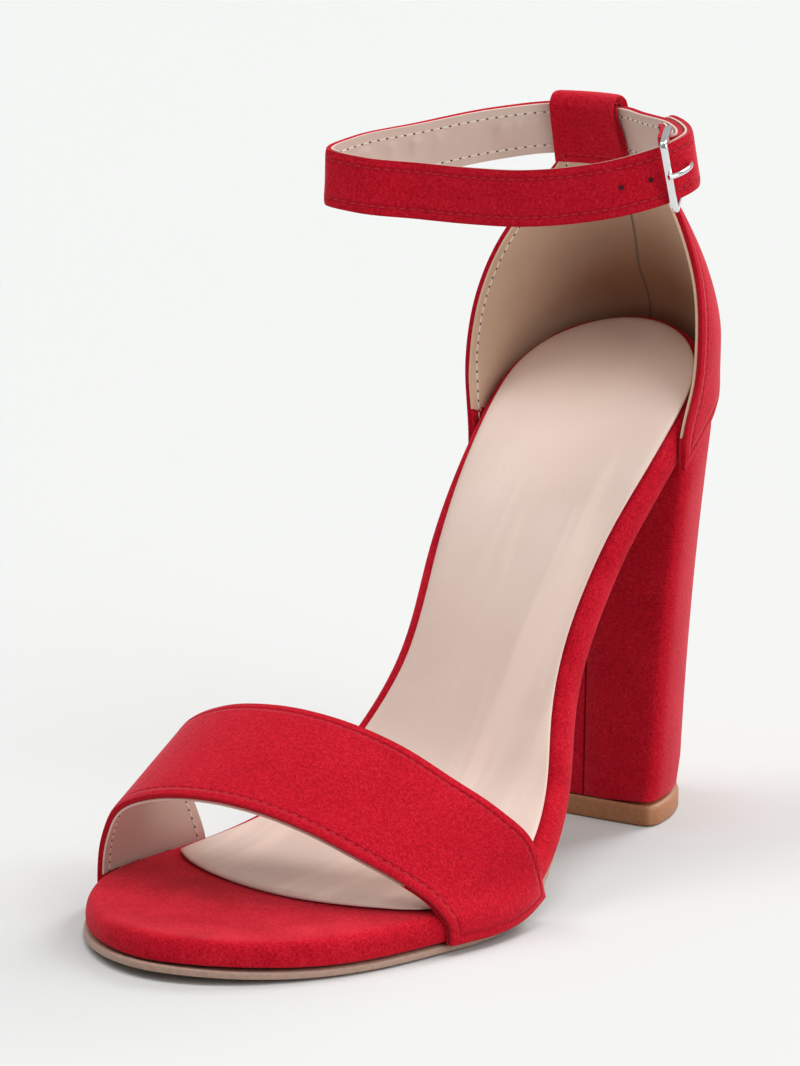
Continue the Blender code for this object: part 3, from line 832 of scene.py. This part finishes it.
class Crease(NamedTuple):
    """A soft trough (depth below 0) or ridge, in millimetres."""

    place: Place
    along: Place
    length: float
    width: float
    depth: float


def crease_heights(points: np.ndarray, creases: Sequence[Crease]) -> np.ndarray:
    """Works out how far creases lift the points of a surface.

    Args:
        points: the points, in metres.
        creases: the creases.

    Returns:
        The lift of each point, in millimetres.
    """
    lift = np.zeros(len(points))
    for crease in creases:
        away = points / MM - np.array(crease.place)
        along = np.array(crease.along) / np.linalg.norm(crease.along)
        run = away @ along
        beside = np.linalg.norm(away - run[:, None] * along, axis=1)
        lift += crease.depth * np.exp(-((run / crease.length) ** 2) - (beside / crease.width) ** 2)
    return lift


class Sheet:
    """An open sheet of upper material, with the distance of every vertex from the sheet's edge.

    An edge is measured at some shares of each of its segments. Its direction is read over a few vertices to
    both sides, and a line along it has more than that many points.
    """

    SHARES = (0.0, 0.25, 0.5, 0.75)
    REACH = 3

    def __init__(self, piece: Piece) -> None:
        """Reads the sheet's edges and stores the distances on it.

        Args:
            piece: the sheet.
        """
        self.piece = piece
        self.loops = self._edge_loops()
        points = Bench.coordinates(piece)
        tree = KDTree(sum(map(len, self.loops)) * len(self.SHARES))
        count = 0
        for loop in self.loops:
            ring = points[loop]
            for share in self.SHARES:
                for point in ring + share * (np.roll(ring, -1, 0) - ring):
                    tree.insert(point, count)
                    count += 1
        tree.balance()
        self.edge = np.array([tree.find(point)[2] for point in points]) / MM
        layer = piece.data.attributes.new("edge", "FLOAT", "POINT")
        layer.data.foreach_set("value", self.edge)

    def _edge_loops(self) -> list[list[int]]:
        """Follows the open edges.

        Returns:
            The vertices of each closed edge of the sheet, in order.
        """
        shape = bmesh.new()
        shape.from_mesh(self.piece.data)
        ahead = {}
        for edge in shape.edges:
            if len(edge.link_faces) == 1:
                loop = edge.link_loops[0]
                ahead[loop.vert.index] = loop.link_loop_next.vert.index
        shape.free()
        loops = []
        while ahead:
            start, here = ahead.popitem()
            ring = [start]
            while here != start:
                ring.append(here)
                here = ahead.pop(here)
            loops.append(ring)
        return loops

    def roll(self, depth: float = 0.25, width: float = 1.2) -> None:
        """Rolls the sheet's edges inwards by a depth, over a width, in millimetres."""
        Bench.push(self.piece, -depth * np.clip(1 - self.edge / width, 0, 1) ** 2)

    def layer(self, name: str, top: float, thick: float) -> Piece:
        """One layer of the wall.

        Args:
            name: the new piece's name.
            top: depth of its outer face below the sheet, in millimetres.
            thick: its thickness.

        Returns:
            The closed layer.
        """
        piece = Bench.twin(self.piece, name)
        Bench.push(piece, -top)
        Bench.apply(piece, "SOLIDIFY", thickness=thick * MM, offset=-1.0)
        Bench.shade(piece, 50.0)
        return piece

    def edge_runs(self, inset: float, depth: float, keep: Callable[[np.ndarray], bool]) -> list[Run]:
        """Lines that follow the sheet's edges.

        Args:
            inset: their distance from the edge, in millimetres.
            depth: their depth below the sheet.
            keep: tells which points of the edge, in millimetres, they follow.

        Returns:
            A line for each unbroken length.
        """
        points = Bench.coordinates(self.piece) / MM
        normals = Bench.normals(self.piece)
        surface = BVHTree.FromObject(self.piece, bpy.context.evaluated_depsgraph_get())
        runs = []
        for loop in self.loops:
            ring = points[loop]
            along = np.roll(ring, -self.REACH, 0) - np.roll(ring, self.REACH, 0)
            inward = np.cross(normals[loop], along)
            inward /= np.linalg.norm(inward, axis=1)[:, None]
            wanted = np.array([keep(point) for point in ring])
            stretches: list[list[tuple[np.ndarray, np.ndarray]]] = [[]]
            for index in np.roll(np.arange(len(loop)), -int(np.argmin(wanted))):
                if not wanted[index]:
                    stretches.append([])
                    continue
                spot, normal, _, _ = surface.find_nearest(Vector((ring[index] + inset * inward[index]) * MM))
                stretches[-1].append((np.array(spot) / MM - depth * np.array(normal), np.array(normal)))
            runs += [Run.of(stretch) for stretch in stretches if len(stretch) > self.REACH]
        return runs


class Run(NamedTuple):
    """A line over a surface, with the surface's normal along it."""

    points: np.ndarray
    normals: np.ndarray

    @staticmethod
    def of(pairs: Sequence[tuple[np.ndarray, np.ndarray]]) -> Run:
        """A line from its points and normals."""
        return Run(np.array([p for p, _ in pairs]), np.array([n for _, n in pairs]))

    def spread(self, pitch: float, start: float) -> tuple[np.ndarray, np.ndarray, np.ndarray]:
        """Even places along the line.

        Args:
            pitch: the distance between them.
            start: the distance to the first one.

        Returns:
            Their points, directions and normals.
        """
        run = arc_lengths(self.points)
        at = np.arange(start, run[-1], pitch)
        beside = 0.4

        def read(values: np.ndarray, where: np.ndarray) -> np.ndarray:
            """The values part of the way along."""
            return np.stack([np.interp(where, run, column) for column in values.T], -1)

        along = read(self.points, at + beside) - read(self.points, at - beside)
        along /= np.linalg.norm(along, axis=1)[:, None]
        return read(self.points, at), along, read(self.normals, at)


class Ring(NamedTuple):
    """A ring round a stitch: its place as a share of the length, and its size as a share of the radius."""

    place: float
    size: float


@dataclass
class Stitching:
    """Rows of stitches, joined in one mesh."""

    pitch: float = 2.3
    length: float = 1.75
    radius: float = 0.26
    sunk: float = 0.06
    start: float = 1.15
    sides: int = 6
    rings: tuple[Ring, ...] = (
        Ring(-0.5, 0.35),
        Ring(-0.34, 0.95),
        Ring(0.0, 1.0),
        Ring(0.34, 0.95),
        Ring(0.5, 0.35),
    )

    def build(self, name: str, runs: Sequence[Run], side: Side) -> Piece:
        """The stitches along some lines.

        Args:
            name: the new piece's name.
            runs: the lines.
            side: which way out of the sheet they show.

        Returns:
            The joined stitches.
        """
        points: list[np.ndarray] = []
        faces: list[tuple[int, ...]] = []
        angles = [math.tau * step / self.sides for step in range(self.sides)]
        for run in runs:
            for place, along, normal in zip(*run.spread(self.pitch, self.start)):
                faces += self._faces(len(points))
                normal = normal * side.value
                across = np.cross(along, normal)
                middle = place - normal * self.sunk
                for ring in self.rings:
                    centre = middle + ring.place * self.length * along
                    for angle in angles:
                        spoke = math.cos(angle) * across + math.sin(angle) * normal
                        points.append(centre + ring.size * self.radius * spoke)
        mesh = bpy.data.meshes.new(name)
        mesh.from_pydata([tuple(point * MM) for point in points], [], faces)
        piece = bpy.data.objects.new(name, mesh)
        bpy.context.scene.collection.objects.link(piece)
        with Bench.editing(piece):
            bpy.ops.mesh.normals_make_consistent(inside=False)
        Bench.shade(piece, 60.0)
        return piece

    def _faces(self, base: int) -> list[tuple[int, ...]]:
        """The faces of one stitch.

        Args:
            base: the number of its first vertex.

        Returns:
            The vertices of each face.
        """
        faces = []
        last = base + (len(self.rings) - 1) * self.sides
        for low in range(base, last, self.sides):
            high = low + self.sides
            for step in range(self.sides):
                after = (step + 1) % self.sides
                faces.append((low + step, low + after, high + after, high + step))
        faces.append(tuple(reversed(range(base, base + self.sides))))
        faces.append(tuple(range(last, last + self.sides)))
        return faces


THREAD = Stitching()
NEEDLE_HOLES = Stitching(length=0.62, radius=0.21, sunk=0.05, start=0.0)


@dataclass
class Upper:
    """A sewn piece of the upper: suede outside and lining inside, which share the wall of one CAD node."""

    finishes: Finishes
    wall: float = 2.0
    suede: float = 1.45
    stitch_inset: float = 2.2
    thread_depth: float = 0.12

    def layers(
        self, node: str, sheet: Sheet, lining_finish: Material, keep: Callable[[np.ndarray], bool]
    ) -> tuple[Piece, Piece]:
        """Makes the stitches and both layers, and takes the sheet away.

        Args:
            node: the CAD node, whose name the pieces' names start with.
            sheet: the outer face of its wall.
            lining_finish: the lining's material.
            keep: tells which points of the edge, in millimetres, are sewn.

        Returns:
            The lining and the suede.
        """
        outer = sheet.edge_runs(self.stitch_inset, self.thread_depth, keep)
        inner = sheet.edge_runs(self.stitch_inset, self.wall, keep)
        finishes = self.finishes
        dress(THREAD.build(f"{node}_stitches", outer, Side.OUTER), finishes.red_thread, Slot.SUEDE)
        dress(THREAD.build(f"{node}_lining_stitches", inner, Side.INNER), finishes.cream_thread, Slot.LINING)
        # The dark needle holes are painted shade.
        holes = NEEDLE_HOLES.build(f"{node}_needle_holes", inner, Side.INNER)
        dress(holes, finishes.needle_hole_shade, Slot.LINING)
        lining = sheet.layer(f"{node}_lining", self.suede, self.wall - self.suede)
        dress(lining, lining_finish, Slot.LINING)
        sheet.roll()
        suede = sheet.layer(f"{node}_suede", 0.0, self.suede)
        dress(suede, finishes.stitched_suede, Slot.SUEDE, node)
        bpy.data.objects.remove(sheet.piece)
        return lining, suede


def through(knots: np.ndarray, values: np.ndarray, at: np.ndarray | float) -> np.ndarray:
    """Reads a smooth curve through rows of values.

    Args:
        knots: the places of the rows along the curve.
        values: the rows.
        at: the place or places to read.

    Returns:
        The row or rows there.
    """
    slopes = np.gradient(values, knots, axis=0)
    i = np.clip(np.searchsorted(knots, at) - 1, 0, len(knots) - 2)
    step = np.asarray(knots[i + 1] - knots[i])[..., None]
    u = np.asarray((at - knots[i]))[..., None] / step
    start = (2 * u**3 - 3 * u**2 + 1) * values[i] + (u**3 - 2 * u**2 + u) * step * slopes[i]
    end = (3 * u**2 - 2 * u**3) * values[i + 1] + (u**3 - u**2) * step * slopes[i + 1]
    return start + end


def soft_step(x: float) -> float:
    """A smooth rise from 0 to 1."""
    x = min(max(x, 0.0), 1.0)
    return x * x * (3 - 2 * x)


def arc_lengths(points: np.ndarray) -> np.ndarray:
    """The distance along a line at each of its points."""
    return np.concatenate([[0.0], np.cumsum(np.linalg.norm(np.diff(points, axis=0), axis=1))])


class Turn(NamedTuple):
    """A place on the ankle strap's middle line and the inward lean of its upper edge, in degrees."""

    x: float
    y: float
    z: float
    lean: float


class AnkleLine:
    """The closed line of the ankle strap, read by the distance from the back round the inner side."""

    POINTS = 481
    BESIDE = 0.5
    LAPPED = 3
    ROUTE = (
        Turn(0.0, -26.8, 163.2, 20),
        Turn(-6.3, -27.3, 163.2, 20),
        Turn(-11.2, -29.0, 163.1, 19),
        Turn(-22.0, -38.9, 161.8, 15),
        Turn(-33.0, -55.0, 159.0, 9),
        Turn(-40.2, -70.5, 157.0, 5),
        Turn(-40.2, -80.3, 155.4, 3),
        Turn(-31.2, -81.0, 154.3, 3),
        Turn(-18.5, -75.0, 153.2, 4),
        Turn(-6.5, -71.8, 152.7, 4),
        Turn(5.5, -69.4, 152.9, 4),
        Turn(17.0, -65.5, 154.2, 4),
        Turn(27.0, -60.6, 156.4, 4),
        Turn(33.6, -54.4, 159.0, 5),
        Turn(35.0, -46.2, 161.2, 8),
        Turn(29.2, -38.8, 162.5, 12),
        Turn(20.0, -33.0, 163.0, 16),
        Turn(9.0, -28.3, 163.2, 19),
        Turn(4.9, -27.1, 163.2, 20),
    )

    def __init__(self) -> None:
        """Closes the route and measures it."""
        rows = np.array(self.ROUTE, float)
        rows[:, :3] += TABLE_SHIFT
        wrapped = np.concatenate([rows[-self.LAPPED :], rows, rows[: self.LAPPED + 1]])
        run = arc_lengths(wrapped[:, :3])
        ends = run[self.LAPPED], run[self.LAPPED + len(rows)]
        self.rows = through(run, wrapped, np.linspace(*ends, self.POINTS))
        self.run = arc_lengths(self.rows[:, :3])
        self.length = float(self.run[-1])
        self.middle = rows[:, :2].mean(axis=0)

    def read(self, distance: float) -> np.ndarray:
        """The row of the route at a distance."""
        return np.array([np.interp(distance % self.length, self.run, column) for column in self.rows.T])

    def axes(self, distance: float) -> tuple[np.ndarray, np.ndarray, np.ndarray, np.ndarray]:
        """The band's own axes.

        Args:
            distance: the distance along the line.

        Returns:
            The place there, the direction, the outward normal and the way up the band.
        """
        place = self.read(distance)
        along = self.read(distance + self.BESIDE)[:3] - self.read(distance - self.BESIDE)[:3]
        along /= np.linalg.norm(along)
        out = np.array([along[1], -along[0], 0.0])
        out /= np.linalg.norm(out)
        if out[:2] @ (place[:2] - self.middle) < 0:
            out = -out
        lean = math.radians(place[3])
        up = np.array([0.0, 0.0, math.cos(lean)]) - out * math.sin(lean)
        up -= along * (up @ along)
        up /= np.linalg.norm(up)
        normal = np.cross(up, along)
        return place[:3], along, normal * math.copysign(1.0, normal @ out), up

    def point(self, distance: float, out: float, width: float = 0.0) -> np.ndarray:
        """A point beside the line, out from it and up its width."""
        return self.beside(distance, 0.0, out, width)

    def beside(self, distance: float, back: float, out: float, width: float = 0.0) -> np.ndarray:
        """A point measured straight from one place of the line, for what doesn't bend with it."""
        place, along, normal, up = self.axes(distance)
        return place + back * along + out * normal + width * up


class Step(NamedTuple):
    """A place of the strap's lap: distance back from the buckle's rear bar, and out from the line."""

    back: float
    out: float


@dataclass
class AnkleStrap(Upper):
    """The strap round the ankle, from its lap in the buckle's rear bar round to the tip of its long end.

    Its start lies inside the line to just past the tip, and its long end moves out over it before the buckle.
    """

    wall: float = 1.8
    suede: float = 1.35
    stitch_inset: float = 2.1
    line: AnkleLine = field(default_factory=AnkleLine)
    width: float = 12.8
    gap: float = 0.3
    bar_radius: float = 0.9
    buckle_from_loop: float = 40.6
    buckle_length: float = 10.4
    tip_from_loop: float = 20.7
    tip_round: float = 6.0
    tip_blunt: float = 0.93
    under_past_tip: float = 2.0
    under_run: float = 10.0
    over_before_bar: float = 30.0
    over_run: float = 24.0
    bend_points: int = 9
    body_points: int = 92
    column: float = 0.8
    across: int = 17
    lap: tuple[Step, ...] = (Step(11.0, -3.2), Step(8.0, -3.5), Step(5.0, -4.2))
    holes: tuple[float, ...] = (145.0, 151.5)
    hole_radius: float = 0.62
    hole_lift: float = 0.1
    crease_from_stitch: float = 0.6
    crease_fade: float = 1.4
    lining_creases: tuple[Crease, ...] = (
        Crease((-36.2, 29.0, 160.4), UP, 5.5, 1.6, 1.0),
        Crease((-33.2, 35.0, 161.2), UP, 6.0, 1.3, 0.8),
        Crease((-30.1, 40.6, 161.9), UP, 5.0, 1.4, 1.0),
        Crease((-27.1, 45.7, 162.2), UP, 6.0, 1.3, 0.8),
        Crease((-18.0, 58.3, 163.2), UP, 5.5, 1.5, 1.0),
        Crease((-15.1, 61.3, 164.2), UP, 5.0, 1.2, 0.9),
    )

    def __post_init__(self) -> None:
        """Works out the places of the two bars."""
        self.layer = (self.wall + self.gap) / 2
        self.depth = self.bar_radius + self.gap + self.wall / 2
        self.rear_bar = self.line.length - self.buckle_from_loop
        self.front_bar = self.rear_bar - self.buckle_length

    def edge(self, side: int) -> np.ndarray:
        """One long edge of the strap's middle surface.

        Args:
            side: -1 for the lower edge and 1 for the upper one.

        Returns:
            Its points, in millimetres.
        """
        half = side * self.width / 2
        row = [self.line.point(self.rear_bar + step.back, step.out, half) for step in self.lap]
        for angle in np.linspace(-math.pi / 2, math.pi / 2, self.bend_points)[:-1]:
            out = -self.layer - self.depth + self.depth * math.sin(angle)
            row.append(self.line.beside(self.rear_bar, -self.depth * math.cos(angle), out, half))
        round_start = 2 * self.line.length - self.tip_from_loop - self.tip_round
        body = np.linspace(self.rear_bar, round_start, self.body_points)
        cap = round_start + self.tip_round * np.sin(np.linspace(0.0, math.pi / 2, self.bend_points)[1:])
        under_end = self.line.length - self.tip_from_loop + self.under_past_tip
        over_start = self.line.length + self.front_bar - self.over_before_bar
        for distance in np.concatenate([body, cap]):
            inner = 1 - soft_step((distance - under_end) / self.under_run)
            outer = soft_step((distance - over_start) / self.over_run)
            near = max(distance - round_start, 0.0) / self.tip_round
            narrow = math.sqrt(1 - self.tip_blunt * near**2)
            row.append(self.line.point(distance, self.layer * (outer - inner), half * narrow))
        return np.array(row)

    def build(self) -> None:
        """Makes the suede, the lining, the stitches and the punched holes."""
        low, high = self.edge(-1), self.edge(1)
        run = arc_lengths((low + high) / 2)
        at = np.linspace(0.0, run[-1], int(run[-1] / self.column))
        low, high = through(run, low, at), through(run, high, at)
        shares = np.linspace(0.0, 1.0, self.across)[:, None, None]
        sheet = Sheet(self._outward(Bench.grid("ankle_sheet", low + shares * (high - low))))
        Bench.push(sheet.piece, self.wall / 2)
        lining, _ = self.layers("ankle_strap", sheet, self.finishes.lining, lambda point: True)
        Bench.push(lining, self._creased(lining))
        for number, distance in enumerate(self.holes, 1):
            _, _, normal, _ = self.line.axes(distance)
            place = self.line.point(distance, self.layer + self.wall / 2 + self.hole_lift)
            # Each punched hole is a dark disc of painted shade.
            hole = Bench.pit(f"ankle_strap_hole_{number}", place, normal, self.hole_radius)
            dress(hole, self.finishes.punched, Slot.SUEDE)

    def _creased(self, lining: Piece) -> np.ndarray:
        """Works out how far the creases lift the lining's inner face.

        Args:
            lining: the lining.

        Returns:
            The lift of each vertex, in millimetres, and 0 by the stitches and elsewhere.
        """
        points = Bench.coordinates(lining)
        inward = np.array([self.line.middle[0], self.line.middle[1], points[:, 2].mean() / MM]) * MM - points
        facing = (Bench.normals(lining) * inward).sum(axis=1) > 0
        edge = np.empty(len(points))
        lining.data.attributes["edge"].data.foreach_get("value", edge)
        clear = np.clip((edge - self.stitch_inset - self.crease_from_stitch) / self.crease_fade, 0.0, 1.0)
        return crease_heights(points, self.lining_creases) * facing * clear

    def _outward(self, piece: Piece) -> Piece:
        """Turns the strap's faces to the outer side.

        Args:
            piece: the strap's sheet.

        Returns:
            The same sheet.
        """
        place, _, normal, _ = self.line.axes(self.line.length / 2)
        near = min(piece.data.polygons, key=lambda face: (face.center - Vector(place * MM)).length)
        if near.normal @ Vector(normal) < 0:
            with Bench.editing(piece):
                bpy.ops.mesh.flip_normals()
        return piece


@dataclass
class Counter(Upper):
    """The heel's cup, with the tab that folds over the ankle strap."""

    outer_point: Place = (1.3, 104.0, 124.0)
    low: float = 92.0
    foot: float = 95.0
    tab: float = 157.0
    flap: float = 70.0
    fold: float = 168.5
    flap_creases: tuple[Crease, ...] = (
        Crease((2.5, 66.5, 165.0), (1.0, 0.0, 0.0), 6.0, 4.5, 0.5),
        Crease((-3.5, 66.5, 160.5), (0.2, 0.0, 1.0), 4.0, 2.2, -0.35),
        Crease((7.0, 66.5, 161.5), (-0.2, 0.0, 1.0), 4.0, 2.0, -0.35),
    )

    def build(self) -> None:
        """Makes the suede, the lining and the stitches."""
        piece = Bench.outer_sheet("counter", "counter_sheet", self.outer_point)
        Bench.smooth(piece, levels=2, passes=4)
        Bench.push(piece, crease_heights(Bench.coordinates(piece), self.flap_creases))
        lining, suede = self.layers("counter", Sheet(piece), self.finishes.cup_lining, self._on_arm)
        repaint(lining, self.finishes.suede, self._suede_inside)
        repaint(suede, self.finishes.suede, lambda at, _: at.z > self.tab)

    def _on_arm(self, point: np.ndarray) -> bool:
        """Whether a point of the edge is on a free front edge of the cup."""
        return self.low < point[2] < self.tab

    def _suede_inside(self, point: Vector, _: Vector) -> bool:
        """Whether the inner side is suede there: on the flap, over the fold and at the foot."""
        on_flap = point.z > self.tab and point.y < self.flap
        return on_flap or not self.foot < point.z < self.fold


@dataclass
class ToeStrap(Upper):
    """The band over the toes."""

    suede: float = 1.55
    outer_point: Place = (-12.0, -58.0, 46.0)
    low: float = 7.6
    outer_low: float = 15.0

    def build(self) -> None:
        """Makes the suede, the lining and the stitches."""
        piece = Bench.outer_sheet("toe_strap", "toe_sheet", self.outer_point)
        Bench.smooth(piece, levels=3, passes=3)
        lining, _ = self.layers("toe_strap", Sheet(piece), self.finishes.lining, self._over_sole)
        repaint(lining, self.finishes.suede, self._at_foot)

    def _over_sole(self, point: np.ndarray) -> bool:
        """Whether a point of the edge is on a free edge of the band."""
        return point[2] > self.low

    def _at_foot(self, point: Vector, _: Vector) -> bool:
        """Whether a point is by one of the band's two feet."""
        return point.z < (self.outer_low if point.x > 0 else self.low)


@dataclass
class Sole:
    """The covered footbed, the outsole under it and the sock on top."""

    finishes: Finishes
    seat: float = 0.28
    seat_slope: float = 0.3
    heel_middle: float = 68.0
    heel_middle_points: int = 40
    heel_reach: float = 27.0
    heel_margin: float = 0.5
    edge_slope: float = 0.45
    toe_creases: tuple[Crease, ...] = (
        Crease((-4.0, -88.0, 9.5), (1.0, 0.0, 0.0), 26.0, 12.0, -0.9),
        Crease((14.0, -70.0, 8.8), (1.0, 0.5, 0.0), 16.0, 9.0, -0.5),
        Crease((-28.0, -78.0, 9.0), (1.0, -0.6, 0.0), 14.0, 8.0, -0.4),
    )
    seat_lip: tuple[Crease, ...] = (
        Crease((-1.8, 97.0, 112.5), (1.0, 0.0, 0.0), 11.0, 3.0, 1.0),
        Crease((15.5, 89.5, 110.0), (1.0, -0.8, -0.3), 11.0, 3.0, 0.9),
        Crease((-19.5, 89.5, 110.0), (1.0, 0.8, 0.3), 11.0, 3.0, 0.9),
    )

    def build(self) -> None:
        """Makes the three layers."""
        footbed = Bench.rounded_copy("footbed", "footbed_cover", sharp=80.0, weight=0.6)
        Bench.push(footbed, crease_heights(Bench.coordinates(footbed), self.toe_creases))
        Bench.lift(footbed, crease_heights(Bench.coordinates(footbed), self.seat_lip))
        dress(footbed, self.finishes.bed_suede, Slot.SUEDE, "footbed")
        outsole = Bench.rounded_copy("outsole", "outsole_sheet", sharp=50.0, weight=0.7)
        Bench.lift(outsole, self.seat * (Bench.normals(outsole)[:, 2] > self.seat_slope))
        dress(outsole, self.finishes.sole, Slot.SOLE, "outsole")
        sock = Bench.rounded_copy("sock", "sock_leather", sharp=35.0, weight=0.6)
        self._draw_in(sock)
        dress(sock, self.finishes.sock, Slot.LINING, "sock")
        # The sock's side faces take the paler edge finish: cut edge and painted highlight.
        repaint(sock, self.finishes.sock_edge, lambda _, normal: normal.z < self.edge_slope)

    def _draw_in(self, sock: Piece) -> None:
        """Draws the sock's back end in, so that the rim of the seat shows round it.

        Args:
            sock: the sock.
        """
        points = Bench.coordinates(sock) / MM
        nearest = np.argsort(np.abs(points[:, 1] - self.heel_middle))[: self.heel_middle_points]
        middle = points[nearest].mean(axis=0)
        away = points - middle
        reach = np.linalg.norm(away, axis=1)
        share = np.clip(reach / self.heel_reach, 0.0, 1.0) ** 2
        share *= np.clip((points[:, 1] - middle[1] + self.heel_reach) / self.heel_reach, 0.0, 1.0)
        points -= away / np.maximum(reach, 1.0)[:, None] * (share * self.heel_margin)[:, None]
        Bench.place(sock, points * MM)


@dataclass
class Heel:
    """The covered block and the top piece that it stands on."""

    finishes: Finishes
    seam: float = BREAST_SEAM
    seam_half: float = 0.3
    seam_depth: float = 0.35
    breast: float = 72.0
    on_seam: float = 0.01

    def build(self) -> None:
        """Makes the block, with the groove of its cover's seam, and the top piece."""
        block = Bench.rounded_copy("heel_block", "heel_cover", sharp=50.0, weight=0.95)
        with Bench.editing(block):
            for across in (-self.seam_half, 0.0, self.seam_half):
                bpy.ops.mesh.select_all(action="SELECT")
                bpy.ops.mesh.bisect(plane_co=((self.seam + across) * MM, 0.0, 0.0), plane_no=(1.0, 0.0, 0.0))
        points = Bench.coordinates(block)
        groove = (np.abs(points[:, 0] / MM - self.seam) < self.on_seam) & (points[:, 1] / MM < self.breast)
        points[groove, 1] += self.seam_depth * MM
        Bench.place(block, points)
        Bench.shade(block)
        dress(block, self.finishes.heel_suede, Slot.SUEDE, "heel_block")
        top = Bench.rounded_copy("top_piece", "heel_top_piece", sharp=35.0, weight=0.95)
        dress(top, self.finishes.rubber, Slot.RUBBER, "top_piece")


@dataclass
class Buckle:
    """The frame and the prong of the buckle."""

    finishes: Finishes

    def build(self) -> None:
        """Makes both from the CAD's rods."""
        for node in ("buckle_frame", "buckle_prong"):
            rod = Bench.rounded_copy(node, f"{node}_steel", sharp=70.0, weight=0.8)
            dress(rod, self.finishes.steel, Slot.STEEL, node)


class Lamp(NamedTuple):
    """A broad soft light: where it shines from, its strength and its width in degrees."""

    name: str
    place: Place
    strength: float
    width: float


@dataclass
class Stage:
    """The floor, the soft lights and the camera."""

    target: Place = (0.0, 0.0, 0.08)
    floor_size: float = 40.0
    floor_colour: Colour = (0.60, 0.61, 0.60)
    sky: float = 0.46
    front_sky: float = 0.22
    dimmed: Range = Range(0.2, 0.95)
    eye: Place = (0.65314, -0.9600, 0.34116)
    yaw: float = 34.5
    pitch: float = 12.7
    lens: float = 178.0
    lamps: tuple[Lamp, ...] = (
        Lamp("front", (-0.9, -0.4, 1.7), 0.75, 30.0),
        Lamp("side", (1.5, -0.05, 0.9), 1.25, 50.0),
        Lamp("back", (0.2, 1.3, 1.25), 1.75, 26.0),
        Lamp("top", (0.1, 0.1, 1.9), 1.0, 26.0),
    )

    def build(self) -> None:
        """Makes the stage and sets the camera."""
        bpy.ops.object.select_all(action="DESELECT")
        bpy.ops.mesh.primitive_plane_add(size=self.floor_size)
        floor = bpy.context.object
        floor.name = "floor"
        floor.data.materials.append(Plain("floor", self.floor_colour, self.floor_colour, 0.8).material())
        scene = bpy.context.scene
        scene.world = self.studio()
        scene.view_settings.view_transform = "Standard"
        for lamp in self.lamps:
            light = bpy.data.lights.new(lamp.name, "SUN")
            light.angle = math.radians(lamp.width)
            light.energy = lamp.strength
            item = bpy.data.objects.new(lamp.name, light)
            scene.collection.objects.link(item)
            item.location = lamp.place
            item.rotation_euler = (Vector(self.target) - item.location).to_track_quat("-Z", "Y").to_euler()
        camera = bpy.data.objects.new("camera", bpy.data.cameras.new("camera"))
        scene.collection.objects.link(camera)
        camera.location = self.eye
        camera.rotation_euler = (math.radians(90 - self.pitch), 0.0, math.radians(self.yaw))
        camera.data.lens = self.lens
        camera.data.sensor_width = 36.0
        camera.data.clip_end = 50.0
        scene.camera = camera

    def studio(self) -> bpy.types.World:
        """A pale studio, dimmer on the camera's side.

        Returns:
            The world.
        """
        world = bpy.data.worlds.new("studio")
        world.use_nodes = True
        nodes = Nodes(world.node_tree)
        way = nodes.node("ShaderNodeTexCoord").outputs["Generated"]
        front = Vector((self.eye[0], self.eye[1], 0.0)).normalized()
        facing = nodes.node("ShaderNodeVectorMath", {"operation": "DOT_PRODUCT"}, {0: way, 1: front})
        steps = {"From Min": self.dimmed.low, "From Max": self.dimmed.high}
        levels = {"To Min": self.sky, "To Max": self.front_sky}
        inputs = {"Value": facing.outputs["Value"], **steps, **levels}
        level = nodes.node("ShaderNodeMapRange", {"interpolation_type": "SMOOTHSTEP"}, inputs)
        backdrop = nodes.tree.nodes["Background"]
        nodes.feed(backdrop.inputs["Color"], (1.0, 1.0, 1.0, 1.0))
        nodes.feed(backdrop.inputs["Strength"], level.outputs["Result"])
        return world


def main() -> None:
    """Builds every sub-assembly in order."""
    logging.basicConfig(level=logging.INFO)
    finishes = Finishes()
    for assembly in (
        Sole(finishes),
        Heel(finishes),
        ToeStrap(finishes),
        Counter(finishes),
        AnkleStrap(finishes),
        Buckle(finishes),
        Stage(),
    ):
        assembly.build()
        log.info("%s is built", type(assembly).__name__)


if __name__ == "__main__":
    main()
